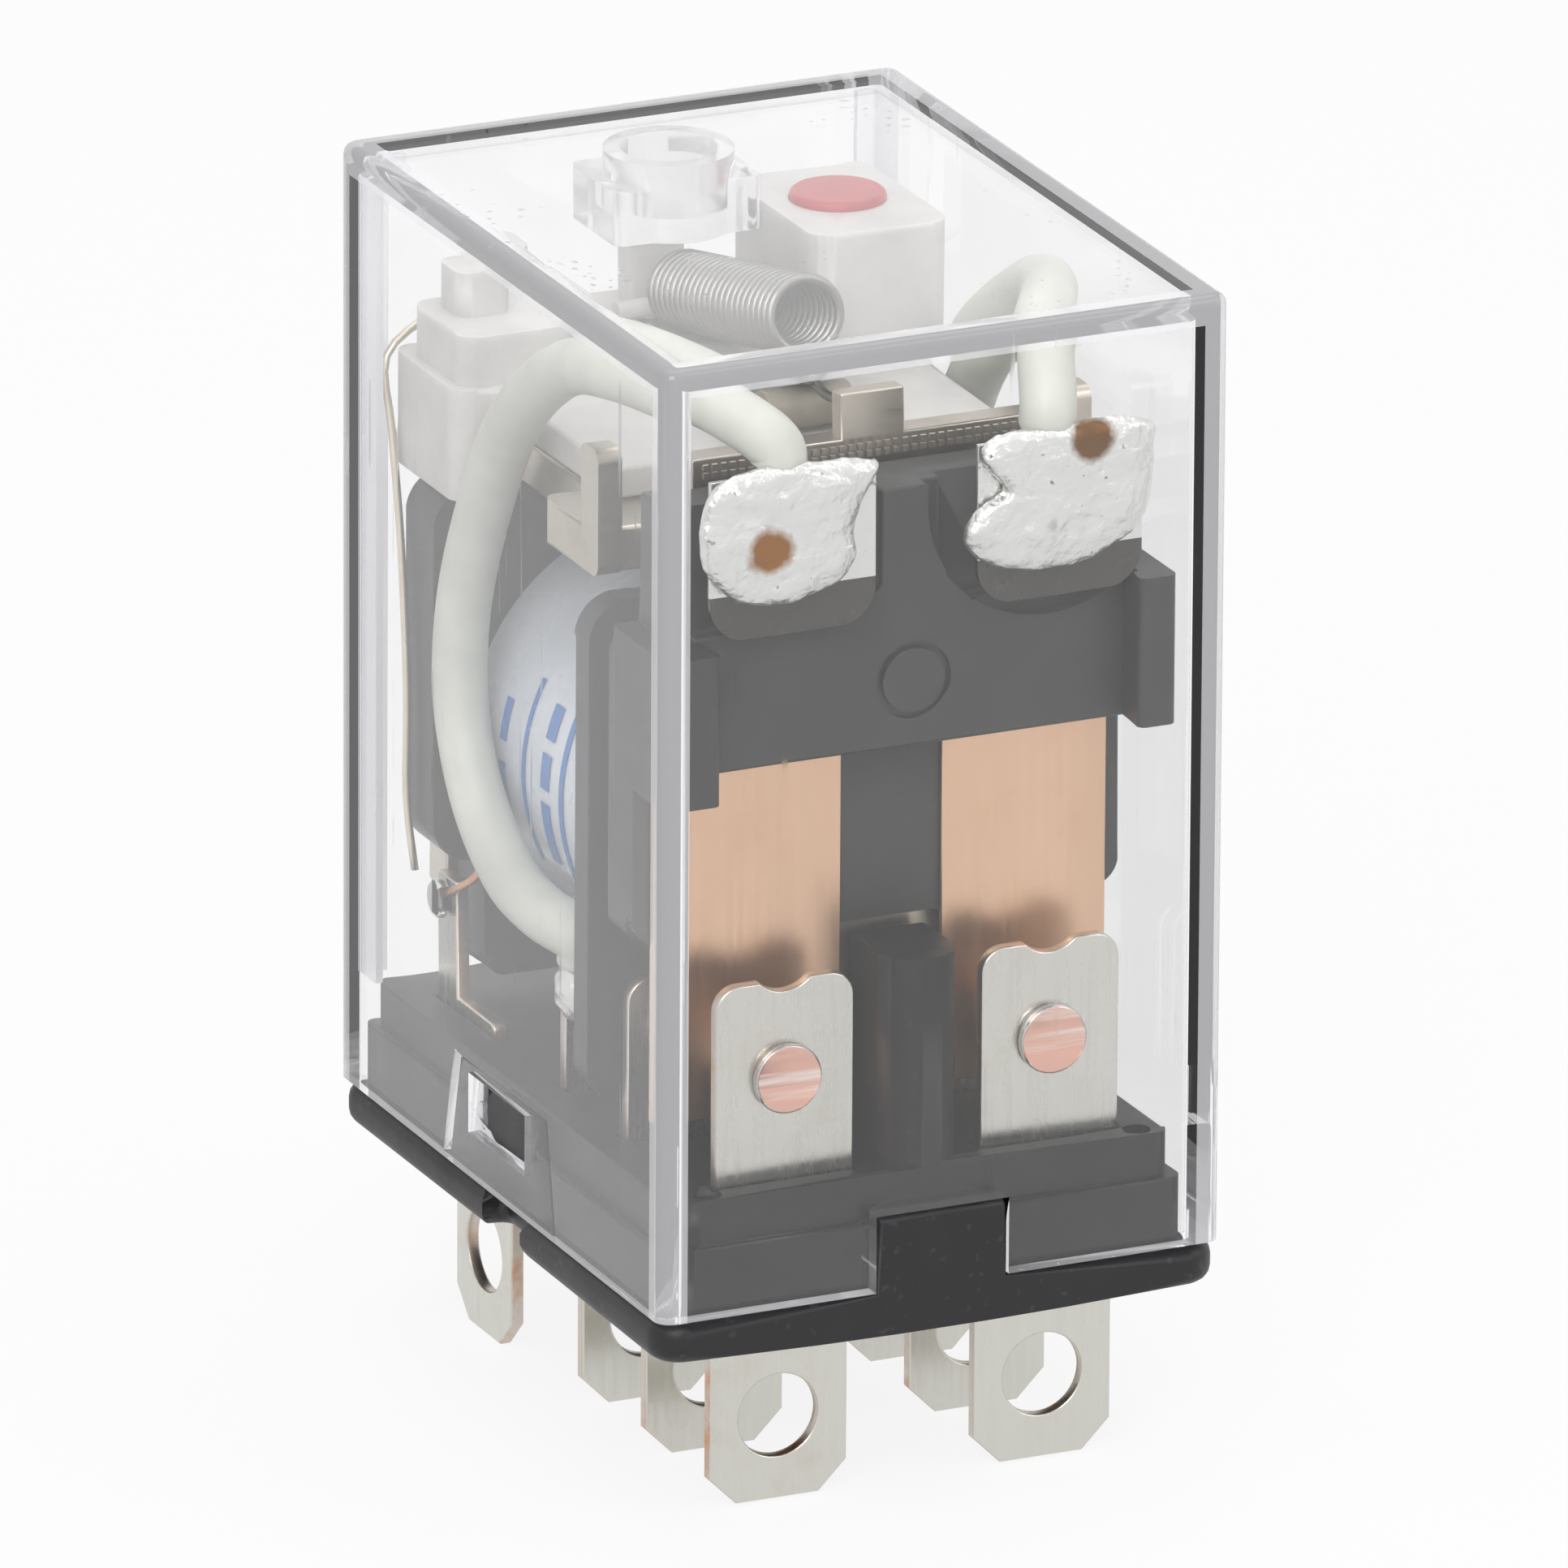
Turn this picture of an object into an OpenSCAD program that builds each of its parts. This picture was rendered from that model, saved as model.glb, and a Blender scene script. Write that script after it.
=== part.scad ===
// Two-pole plug-in power relay in a clear snap-on cover.
// +Z is up, the seating face of the base is z = 0 and the blades hang below it.
// The contact side faces -Y. "left" is -X and "right" is +X.

/* [Case] */
// Width of the base and the cover
body_w = 21.2; // [20.6:0.1:26]
// Depth of the base and the cover
body_d = 27.6; // [27:0.1:34]
// Height from the seating face to the top of the cover
body_h = 36; // [35.5:0.1:44]
// Wall of the clear cover
cover_wall = 1; // [0.8:0.1:1.2]
// Thickness of the rim flange of the base
flange_t = 1.5; // [1.2:0.1:1.8]
// Radius of the vertical corners of the flange
corner_r = 1.2; // [0.8:0.1:2]
// Height of the base's upper deck
deck_z = 5.5; // [5:0.1:6]
// Height of the barrier between the two poles
barrier_z = 13.1; // [11:0.1:13.5]
// Thickness of the barrier
barrier_t = 2.8; // [1.5:0.1:3.2]

/* [Terminals] */
// Thickness of the terminal strips
strip_t = 0.5; // [0.4:0.05:0.6]
// Width of the contact blades
blade_w = 5.2; // [4.2:0.1:6.3]
// Width of the coil blades
coil_blade_w = 4.75; // [4:0.05:5.2]
// Length of the blades below the seating face
blade_len = 6.4; // [6:0.1:8]
// Diameter of the hole in each blade
blade_hole_d = 3; // [2:0.1:3.4]
// Height of the hole centres, below the seating face
blade_hole_drop = 3.35; // [3:0.05:4]
// Distance between the two poles
pole_pitch = 10; // [9.6:0.1:10.4]
// Distance between the rows of contact blades
row_pitch = 5.35; // [5.2:0.05:5.5]
// Depth position of the coil blades' centre
coil_blade_y = 7.6; // [7:0.1:7.8]

/* [Contacts] */
// Height of the contact centres
contact_z = 9.2; // [9:0.1:9.4]
// Diameter of the contact heads
contact_d = 3; // [2.4:0.1:3.2]
// Diameter of the contact rivet shanks
shank_d = 1.6; // [1.2:0.1:2]
// Thickness of a contact head
contact_t = 0.88; // [0.8:0.01:0.9]
// Thickness of the moving contact springs
leaf_t = 0.2; // [0.15:0.05:0.25]
// Width of the moving contact springs
leaf_w = 6.2; // [5:0.1:6.4]

/* [Coil] */
// Height of the coil's axis
coil_z = 15.6; // [15.5:0.1:15.8]
// Height of the bobbin's flanges
flange_h = 18.2; // [17:0.1:18.4]
// Diameter of the winding
winding_d = 14; // [11:0.1:14.2]
// Diameter of the core
core_d = 6.4; // [5:0.1:7]
// Diameter of the pole face
pole_d = 8.4; // [7:0.1:8.6]
// Thickness of the yoke
yoke_t = 1.6; // [1.2:0.1:1.8]
// Width of the yoke
yoke_w = 14; // [11:0.1:14.4]
// Height of the yoke's top face, where the armature rocks
hinge_z = 27.6; // [27.4:0.1:27.8]

/* [Armature] */
// Thickness of the armature
armature_t = 1.2; // [1:0.1:1.4]
// Width of the armature
armature_w = 13.6; // [11:0.1:14]
// Swing of the armature from released to pulled in, in degrees
swing = 2.7; // [2:0.1:2.8]
// Outer diameter of the return spring
spring_d = 3.1; // [2.6:0.1:3.4]
// Wire of the return spring
spring_wire = 0.35; // [0.25:0.05:0.4]

/* [Leads] */
// Diameter of the sleeved leads
lead_d = 2; // [1.6:0.1:2.1]
// Thickness of a solder fillet in front of a tab
solder_t = 0.5; // [0.3:0.05:0.6]

/* [Hidden] */

$fn = 48;
seat = 0.03;            // clearance round a piece that is pressed into another
air = 0.3;              // clearance round what moves
eps = 0.01;             // overrun of a cut past the face that it opens

inner_x = body_w / 2 - cover_wall;
inner_y = body_d / 2 - cover_wall;
inner_z = body_h - cover_wall;
rim_z = flange_t + 0.1;                 // lower edge of the cover
plinth_gap = 0.15;                      // base block to cover wall
plinth_x = inner_x - plinth_gap;
plinth_y = inner_y - plinth_gap;
plinth_z = 3.9;
deck_inset = 0.35;
deck_x = plinth_x - deck_inset;
deck_y = plinth_y - deck_inset;

nc_y = -11;
no_y = nc_y + row_pitch;
com_y = no_y + row_pitch;
coil_blade_x = inner_x - 2.1;
tip_cut = 1.05;                         // chamfer at each blade tip
nc_top = 12.7;
no_top = 11.3;
nc_face = nc_y + strip_t / 2;           // faces that carry the fixed contacts
no_face = no_y - strip_t / 2;
touch = 0.03;                           // air left between closed contacts
leaf_y = nc_face + contact_t * 2 + touch;   // front face of the moving springs

hinge_y = -6.2;
hinge_gap = 0.05;
pole_y = hinge_y + hinge_gap;
pole_t = 1.2;
bobbin_front_y = pole_y + pole_t + 0.1;
bobbin_flange_t = 1.2;
rear_flange_t = 2.4;
yoke_rear_y = inner_y - 0.4;            // outer face of the yoke's rear leg
bobbin_rear_y = yoke_rear_y - yoke_t - 0.1;
winding_gap = 0.05;
bobbin_x = inner_x - 0.9;
bobbin_bore_d = core_d + 0.2;
bobbin_tube_t = 0.6;
post_clear_z = 11;                      // rear flange is narrow below this height
flange_foot_z = coil_z - flange_h / 2;
flange_top_z = coil_z + flange_h / 2;
tape_t = 0.25;

ear_x = inner_x - 1.2;                  // middle of the yoke's upright ears
ear_t = 0.9;
ear_top = 30.6;
armature_foot_z = 11.2;
crown_z = 30.4;                         // top of the armature's knurled crown
tongue_z = 32;
tongue_w = 2.4;

carrier_front = nc_y + 0.3;
carrier_back = hinge_y - armature_t - 0.55;
carrier_x = inner_x - 1.4;
carrier_foot_z = 20.3;
carrier_shelf_z = 25.3;
backing_x = bobbin_x;                   // dark plate behind the springs, over the armature
backing_foot_z = 13.5;
carrier_top_z = 29.7;
lug_front = -inner_y + 0.6;
tab_y = -11.7;                          // front face of the soldered tabs
tab_top_z = 31.2;
tab_w = 6.2;
tab_r = 1.4;                            // round lower corners of the tabs

spring_rear = [0, 8.2, 30];             // ends of the close coils
spring_front = [0, -2.2, 32.3];
spring_tilt = atan2(spring_front[2] - spring_rear[2], spring_rear[1] - spring_front[1]);
spring_len = norm(spring_front - spring_rear);

housing_z = hinge_z + 0.05;             // underside of the moulding on the yoke
housing_deck_z = housing_z + 1.2;
tower_top_z = 33;
holder_foot_z = 32;
lens_d = 3.4;
lens_at = [5.6, 7.6];
holder_ring_d = 4.6;
holder_at = [0.2, 9.9];

lead_x = inner_x - lead_d / 2 - 0.15;   // leads hug the side walls
left_lead = [
    [-5.4, -11.2, 31.4], [-5.4, -11.2, 31.9], [-5.9, -10.8, 32.5], [-7.0, -9.2, 33.2], [-8.2, -6.0, 33.4],
    [-lead_x, -2.3, 32.4], [-lead_x, 1.8, 29.4], [-lead_x, 4.4, 25.5], [-lead_x, 6.2, 21.4],
    [-lead_x, 6.5, 17.7], [-lead_x, 5.1, 14.6], [-lead_x, 2.5, 12.6], [-lead_x + 0.2, 0.2, 11.9],
    [-7.5, -1.3, 11.4], [-7.3, -1.5, 10.9], [-7.3, -1.5, 10.35]
];
right_lead = [
    [4.7, -11.2, 31.4], [4.75, -11.2, 32.2], [5.4, -9.6, 33.6], [7.3, -6.2, 33.6],
    [lead_x, -2.3, 32.4], [lead_x, 1.8, 29.4], [lead_x, 4.4, 25.5], [lead_x, 6.2, 21.4],
    [lead_x, 6.5, 17.7], [lead_x, 5.1, 14.6], [lead_x, 2.5, 12.6], [lead_x - 0.2, 0.2, 11.9],
    [7.5, -1.3, 11.4], [7.3, -1.5, 10.9], [7.3, -1.5, 10.35]
];
lead_sides = 10;
rings_per_span = 3;
wire_d = 0.3;

// ---- shared shapes ----

// Upright slab with round vertical corners, standing on z = 0
module slab(w, d, h, r) {
    linear_extrude(h) {
        square([w - 2 * r, d], center = true);
        square([w, d - 2 * r], center = true);
        for (x = [-1, 1], y = [-1, 1]) translate([x * (w / 2 - r), y * (d / 2 - r)]) circle(r);
    }
}

// Plate in the X-Z plane between two heights with all four corners round, front face on y = 0
module plate(w, z0, z1, t, r) {
    translate([0, t, (z0 + z1) / 2]) rotate([90, 0, 0]) slab(w, z1 - z0, t, r);
}

// Box given by its two opposite corners
module block(a, b) {
    translate(a) cube(b - a);
}

// Rod along Y between two depths
module rod_y(d, y0, y1) {
    translate([0, y0, 0]) rotate([-90, 0, 0]) cylinder(d = d, h = y1 - y0);
}

// Flat outline of a blade: chamfered tip, round hole, round shoulders at the top
module blade_outline(w, top, r) {
    difference() {
        union() {
            polygon([
                [-w / 2, -blade_len + tip_cut], [-w / 2 + tip_cut, -blade_len],
                [w / 2 - tip_cut, -blade_len], [w / 2, -blade_len + tip_cut],
                [w / 2, top - r], [-w / 2, top - r]
            ]);
            translate([-w / 2 + r, top - r - eps]) square([w - 2 * r, r + eps]);
            for (x = [-1, 1]) translate([x * (w / 2 - r), top - r]) circle(r);
        }
        translate([0, -blade_hole_drop]) circle(d = blade_hole_d);
    }
}

// Terminal strip in the X-Z plane, centred on y = 0, with the rivet hole of its fixed contact
module contact_strip(top) {
    rotate([90, 0, 0]) linear_extrude(strip_t, center = true) difference() {
        blade_outline(blade_w, top, 0.9);
        translate([0, contact_z]) circle(d = shank_d + 2 * seat);
        translate([0, top + 0.9]) circle(1.3);
    }
}

// Fixed contact: a head on the moving contact's side, a shank and a smaller upset head
module fixed_contact(upset_d) {
    translate([0, 0, contact_z]) {
        rod_y(contact_d, strip_t / 2, strip_t / 2 + contact_t);
        rod_y(shank_d, -strip_t / 2 - eps, strip_t / 2 + eps);
        rod_y(upset_d, -strip_t / 2 - 0.4, -strip_t / 2);
    }
}

// Points on a smooth curve through the points p
function spline_at(a, b, c, d, t) =
    0.5 * (2 * b + t * (c - a) + t * t * (2 * a - 5 * b + 4 * c - d) + t * t * t * (3 * b - 3 * c + d - a));
function clamp_at(p, i) = p[max(0, min(len(p) - 1, i))];
function smooth(p, n) = concat(
    [for (i = [0 : len(p) - 2], k = [0 : n - 1])
        spline_at(clamp_at(p, i - 1), p[i], p[i + 1], clamp_at(p, i + 2), k / n)],
    [p[len(p) - 1]]
);
function unit(v) = v / norm(v);
function heading(p, i) = unit(clamp_at(p, i + 1) - clamp_at(p, i - 1));
function side_of(t) = unit(cross(t, abs(t[0]) < 0.9 ? [1, 0, 0] : [0, 1, 0]));

// Round tube of diameter d along the path p
module tube(p, d, sides) {
    rings = [for (i = [0 : len(p) - 1])
        let (t = heading(p, i), u = side_of(t), v = cross(t, u))
        [for (k = [0 : sides - 1])
            p[i] + d / 2 * (cos(360 * k / sides) * u + sin(360 * k / sides) * v)]];
    polyhedron(
        points = [for (r = rings, q = r) q],
        faces = concat(
            [[for (k = [0 : sides - 1]) k]],
            [for (i = [0 : len(p) - 2], k = [0 : sides - 1])
                [i * sides + k, (i + 1) * sides + k,
                 (i + 1) * sides + (k + 1) % sides, i * sides + (k + 1) % sides]],
            [[for (k = [sides - 1 : -1 : 0]) (len(p) - 1) * sides + k]]
        )
    );
}

// ---- case ----

barrier_front = -deck_y + barrier_t / 2;    // centre of the barrier's round front column

module strip_slots() {
    for (x = [-1, 1]) {
        for (y = [nc_y, no_y, com_y])
            translate([x * pole_pitch / 2, y, 0])
                cube([blade_w + 2 * seat, strip_t + 2 * seat, 3 * deck_z], center = true);
        translate([x * coil_blade_x, coil_blade_y, 0])
            cube([strip_t + 2 * seat, coil_blade_w + 2 * seat, 3 * deck_z], center = true);
    }
}

lug_w = 4.8;                            // front and rear lugs in the cover's notches
lug_top = 4.3;
catch_w = 3.3;                          // side catches in the cover's windows
catch_foot_z = 3.3;
catch_top_z = 5.2;
catch_out = 0.8;                        // how far a catch stands out of the plinth
window_w = 4.8;
window_y = 0.1;
window_foot_z = 3.2;
window_top_z = 5.4;
relief_depth = 0.25;                    // thinned wall round each window, inside the cover
relief_top_z = 5.6;
notch_y = -0.3;                         // pry notches in the flange under the catches
notch_w = 3.2;
notch_depth = 0.9;
block_corner_r = 0.5;                   // small corner radii
lip_r = 0.3;
dimple_d = 1;
dimple_depth = 0.3;

// Catch along the side wall, rounded at the rear
module side_catch() {
    catch_h = catch_top_z - catch_foot_z;
    translate([plinth_x - catch_out, -catch_w / 2, catch_foot_z])
        cube([2 * catch_out, catch_w - catch_h / 2, catch_h]);
    translate([plinth_x - catch_out, catch_w / 2 - catch_h / 2, catch_foot_z + catch_h / 2])
        rotate([0, 90, 0]) cylinder(d = catch_h, h = 2 * catch_out);
}

module base() {
    color("#1b1b1d") difference() {
        union() {
            slab(body_w, body_d, flange_t, corner_r);
            slab(2 * plinth_x, 2 * plinth_y, plinth_z, block_corner_r);
            slab(2 * deck_x, 2 * deck_y, deck_z, block_corner_r);
            translate([0, 0, lug_top / 2]) cube([lug_w, body_d, lug_top], center = true);
            for (x = [0, 1]) mirror([x, 0, 0]) side_catch();
            translate([0, barrier_front, 0]) cylinder(d = barrier_t, h = barrier_z);
            block([-barrier_t / 2, barrier_front, 0], [barrier_t / 2, leaf_y + air, barrier_z]);
            block([-barrier_t / 2, barrier_front, 0],
                [barrier_t / 2, no_y + 0.2, armature_foot_z - 0.5]);
        }
        strip_slots();
        for (x = [-1, 1]) {
            translate([x * (deck_x - dimple_d), -deck_y + 0.6, deck_z - dimple_depth])
                cylinder(d = dimple_d, h = 1, $fn = 24);
            translate([x * body_w / 2, notch_y, -1]) slab(2 * notch_depth, notch_w, flange_t + 2, lip_r);
        }
    }
}

cover_corner_r = 0.6;

module cover() {
    color("#e6e6ea", 0.4) difference() {
        translate([0, 0, rim_z]) slab(body_w, body_d, body_h - rim_z, cover_corner_r);
        translate([0, 0, rim_z - 1]) slab(2 * inner_x, 2 * inner_y, inner_z - rim_z + 1, lip_r);
        translate([0, 0, rim_z])
            cube([lug_w + 0.2, body_d + 2, 2 * (lug_top + 0.1 - rim_z)], center = true);
        translate([0, window_y, (window_foot_z + window_top_z) / 2])
            cube([2 * body_w, window_w, window_top_z - window_foot_z], center = true);
        for (x = [0, 1]) mirror([x, 0, 0]) translate([inner_x - eps, 0, 0])
            rotate([90, 0, 90]) linear_extrude(relief_depth + eps) polygon([
                [-4.4, rim_z - 1], [5.4, rim_z - 1], [4.3, relief_top_z], [-3.5, relief_top_z]
            ]);
    }
}

// ---- fixed terminals and contacts ----

module nc_terminal(side) {
    color("#c9c8c0") translate([side * pole_pitch / 2, nc_y, 0]) contact_strip(nc_top);
}

module no_terminal(side) {
    color("#c9c8c0") translate([side * pole_pitch / 2, no_y, 0]) contact_strip(no_top);
}

com_tab_w = 1.7;
com_tab_z = 10.1;

// The blade stops on the deck and a narrow tab rises at its outer edge
module com_terminal(side) {
    color("#c9c8c0") translate([side * pole_pitch / 2, com_y, 0])
        rotate([90, 0, 0]) linear_extrude(strip_t, center = true) {
            blade_outline(blade_w, deck_z + 0.8, 0.3);
            translate([side > 0 ? blade_w / 2 - com_tab_w : -blade_w / 2, 0]) square([com_tab_w, com_tab_z]);
        }
}

coil_post_w = 1.6;
coil_post_z = 10.2;

module coil_terminal(side) {
    color("#c9c8c0") translate([side * coil_blade_x, coil_blade_y, 0])
        rotate([90, 0, 90]) linear_extrude(strip_t, center = true) {
            blade_outline(coil_blade_w, deck_z + 0.4, 0.3);
            translate([coil_blade_w / 2 - coil_post_w, 0]) square([coil_post_w, coil_post_z]);
        }
}

module nc_contact(side) {
    color("#d8d4cc") translate([side * pole_pitch / 2, nc_y, 0]) fixed_contact(2.5);
}

module no_contact(side) {
    color("#d8d4cc") translate([side * pole_pitch / 2, no_y, 0]) mirror([0, 1, 0]) fixed_contact(2.5);
}

// ---- coil ----

module bobbin() {
    color("#202022") difference() {
        union() {
            translate([0, 0, coil_z])
                rod_y(bobbin_bore_d + 2 * bobbin_tube_t, bobbin_front_y, bobbin_rear_y);
            translate([0, bobbin_front_y, 0])
                plate(2 * bobbin_x, flange_foot_z, flange_top_z, bobbin_flange_t, 1.5);
            translate([0, bobbin_rear_y - rear_flange_t, 0]) {
                plate(2 * bobbin_x, post_clear_z, flange_top_z, rear_flange_t, 1.5);
                plate(2 * (coil_blade_x - 0.8), flange_foot_z, post_clear_z + 2, rear_flange_t, 0.8);
            }
            for (y = [bobbin_front_y + bobbin_flange_t / 2, bobbin_rear_y - rear_flange_t / 2])
                translate([0, y, (deck_z + flange_foot_z) / 2 + 0.25])
                    cube([5, 1, flange_foot_z - deck_z + 0.5], center = true);
        }
        translate([0, 0, coil_z]) rod_y(bobbin_bore_d, bobbin_front_y - 1, bobbin_rear_y + 1);
    }
}

module round_layer(d0, d1) {
    difference() {
        translate([0, 0, coil_z])
            rod_y(d1, bobbin_front_y + bobbin_flange_t + winding_gap,
                bobbin_rear_y - rear_flange_t - winding_gap);
        translate([0, 0, coil_z]) rod_y(d0, bobbin_front_y, bobbin_rear_y);
    }
}

module coil_winding() {
    color("#b8733f") round_layer(bobbin_bore_d + 2 * bobbin_tube_t + 2 * winding_gap, winding_d);
}

module coil_tape() {
    color("#e4e6ea", 0.8) round_layer(winding_d + 2 * seat, winding_d + 2 * seat + 2 * tape_t);
}

core_neck_d = core_d - 1.4;

module core() {
    color("#b5b1a8") translate([0, 0, coil_z]) difference() {
        union() {
            rod_y(pole_d, pole_y, pole_y + pole_t);
            rod_y(core_d, pole_y + pole_t / 2, bobbin_rear_y + 0.05);
            rod_y(core_neck_d, bobbin_rear_y - 1, yoke_rear_y + 0.15);
        }
        shading_shape(seat, 1);
    }
}

shading_z = 1.4;                        // the ring sits above the pole's centre
shading_depth = 0.8;

module shading_shape(gap, overrun) {
    translate([0, 0, shading_z]) difference() {
        rod_y(4.6 + 2 * gap, pole_y + 0.1 - overrun, pole_y + 0.1 + shading_depth + gap);
        rod_y(3 - 2 * gap, pole_y - overrun - 1, pole_y + 2 + shading_depth);
    }
}

module shading_ring() {
    color("#b06a3b") translate([0, 0, coil_z]) shading_shape(0, 0);
}

// L-shaped frame: rear leg behind the coil, top leg over it, an upright ear at each front corner
module yoke() {
    color("#c2b8a6") difference() {
        union() {
            block([-yoke_w / 2, yoke_rear_y - yoke_t, 9], [yoke_w / 2, yoke_rear_y, hinge_z]);
            block([-yoke_w / 2, pole_y, hinge_z - yoke_t], [yoke_w / 2, yoke_rear_y, hinge_z]);
            for (x = [-1, 1]) {
                translate([x * ear_x / 2, -3.4, hinge_z - yoke_t])
                    slab(ear_x + ear_t, 4.2, yoke_t, 0.5);
                translate([x * ear_x, -5.2, 0]) rotate([0, 0, 90])
                    translate([0, -ear_t / 2, 0]) plate(1.5, hinge_z - yoke_t, ear_top, ear_t, 0.5);
            }
        }
        translate([0, 0, coil_z]) rod_y(core_neck_d + 2 * seat, yoke_rear_y - yoke_t - 1, yoke_rear_y + 1);
    }
}

// End of the winding, brought round the rear flange to the coil post
module coil_wire(side) {
    x = side * (coil_blade_x + strip_t / 2 + 0.2);
    y = coil_blade_y + coil_blade_w / 2 - coil_post_w / 2;
    color("#a8602f") tube(smooth([
        [x, y - 0.2, coil_post_z - 0.6], [x + side * 0.1, y - 1.8, 10.4], [x, y - 3, 11.2],
        [side * (winding_d / 2 + tape_t + 0.25), y - 3.6, 12.6]
    ], 4), wire_d, 8);
}

module coil_solder(side) {
    x = side * (coil_blade_x + strip_t / 2 + seat);
    y = coil_blade_y + coil_blade_w / 2 - coil_post_w / 2;
    color("#d9d9d6") difference() {
        translate([x, y, coil_post_z - 0.8]) rotate([0, side * 90, 0]) cylinder(d = 1.4, h = 0.5, $fn = 24);
        translate([x, y - 1.2, coil_post_z - 0.7]) cube([1.2, 2.2, 0.8], center = true);
    }
}

// ---- moving assembly ----

// The armature hangs from the yoke's edge, open by the swing while the coil is off
module armature_shape(grow) {
    translate([0, hinge_y, hinge_z]) rotate([-swing, 0, 0]) translate([0, -hinge_y, -hinge_z]) {
        block([-armature_w / 2 - grow, hinge_y - armature_t - grow, armature_foot_z - grow],
            [armature_w / 2 + grow, hinge_y, crown_z - 1]);
        block([-armature_w / 2 - grow, hinge_y - armature_t - grow, hinge_z],
            [armature_w / 2 + grow, hinge_y, crown_z]);
        block([-tongue_w / 2, hinge_y - armature_t, crown_z - eps], [tongue_w / 2, hinge_y - 0.4, tongue_z]);
    }
}

module armature() {
    color("#c9bda8") armature_shape(0);
}

scoop_d = 9;                            // round hollow in the right pocket's shelf
scoop_depth = 0.9;
post_w = 2.4;                           // post between the two pockets
flare = 1;
lug_t = 1.4;                            // lugs at the bar's ends, the left one hangs lower
lug_h = 5.4;
left_lug_drop = 0.6;
gate_ring_d = 2.8;
gate_ring_groove = 0.25;
gate_ring_rise = 2.4;
spring_gap = 0.05;                      // springs to the backing plate

module carrier_solid() {
    backing_front = leaf_y + leaf_t + spring_gap;
    block([-carrier_x, carrier_front, carrier_foot_z], [carrier_x, carrier_back, carrier_shelf_z]);
    translate([0, backing_front, 0])
        plate(2 * backing_x, backing_foot_z, carrier_shelf_z, carrier_back - backing_front, 1);
    for (x = [-1, 1])
        translate([x * (backing_x - 0.8), carrier_back - 0.1, 0])
            plate(1.6, backing_foot_z, carrier_shelf_z - 1, 1.5, 0.7);
    block([-carrier_x, leaf_y - 0.6, carrier_foot_z], [carrier_x, carrier_back, carrier_top_z]);
    translate([0, carrier_back, 0]) rotate([90, 0, 0])
        linear_extrude(carrier_back - carrier_front) polygon([
            [-post_w / 2, carrier_top_z], [-post_w / 2, carrier_shelf_z + flare],
            [-post_w / 2 - flare, carrier_shelf_z], [post_w / 2 + flare, carrier_shelf_z],
            [post_w / 2, carrier_shelf_z + flare], [post_w / 2, carrier_top_z]
        ]);
    for (x = [-1, 1]) {
        drop = x < 0 ? left_lug_drop : 0;
        translate([x * (carrier_x + lug_t / 4), (lug_front + carrier_back) / 2, carrier_foot_z - drop])
            slab(lug_t, carrier_back - lug_front, lug_h, lip_r);
    }
}

// Moulded carrier on the armature, with a slot for each moving spring
module contact_carrier() {
    color("#3b3c3c") difference() {
        carrier_solid();
        armature_shape(seat);
        for (x = [-1, 1])
            translate([x * pole_pitch / 2, 0, 0]) leaf_shape(seat);
        translate([0, carrier_front, carrier_foot_z + gate_ring_rise]) difference() {
            rod_y(gate_ring_d, -0.2, 0.2);
            rod_y(gate_ring_d - 2 * gate_ring_groove, -1, 1);
        }
        translate([pole_pitch / 2, carrier_front, carrier_shelf_z + scoop_d / 2 - scoop_depth])
            rod_y(scoop_d, -0.6, 0.6);
    }
}

leaf_foot_z = 7.2;
leaf_bend_z = carrier_shelf_z + 0.1;

// Moving spring: straight leaf, a step forward over the shelf and an upright tab
module leaf_shape(grow) {
    t = leaf_t + 2 * grow;
    translate([-leaf_w / 2 - grow, leaf_y - grow, leaf_foot_z])
        cube([leaf_w + 2 * grow, t, leaf_bend_z + leaf_t + grow - leaf_foot_z]);
    translate([-tab_w / 2 + tab_r - grow, tab_y - grow, leaf_bend_z - grow])
        cube([tab_w - 2 * tab_r + 2 * grow, leaf_y + leaf_t - tab_y + grow, t]);
    translate([0, tab_y - grow, 0])
        plate(tab_w + 2 * grow, leaf_bend_z - grow, leaf_bend_z + 2 * tab_r + 0.2, t, tab_r);
    translate([-tab_w / 2 - grow, tab_y - grow, leaf_bend_z + tab_r])
        cube([tab_w + 2 * grow, t, tab_top_z - leaf_bend_z - tab_r + grow]);
}

module moving_spring(side) {
    color("#e2b184") translate([side * pole_pitch / 2, 0, 0]) difference() {
        leaf_shape(0);
        translate([0, 0, contact_z]) rod_y(shank_d + 2 * seat, leaf_y - 1, leaf_y + 1);
    }
}

// Double-headed rivet through the spring
module moving_contact(side) {
    color("#d8d4cc") translate([side * pole_pitch / 2, leaf_y, contact_z]) {
        rod_y(contact_d, -contact_t, 0);
        rod_y(shank_d, -eps, leaf_t + eps);
        rod_y(contact_d, leaf_t, leaf_t + 0.8);
    }
}

module tab_solder(side) {
    color("#dddcd8") translate([side * pole_pitch / 2, tab_y - solder_t, 0])
        plate(tab_w - 0.2, leaf_bend_z + 0.8, tab_top_z - 0.1, solder_t, 1.6);
}

// ---- springs, leads and joints ----

spring_peg = spring_rear + [0, 1, -0.9];    // crosspiece that holds the rear hook
spring_peg_d = 0.8;
hook_r = 0.66;

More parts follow.
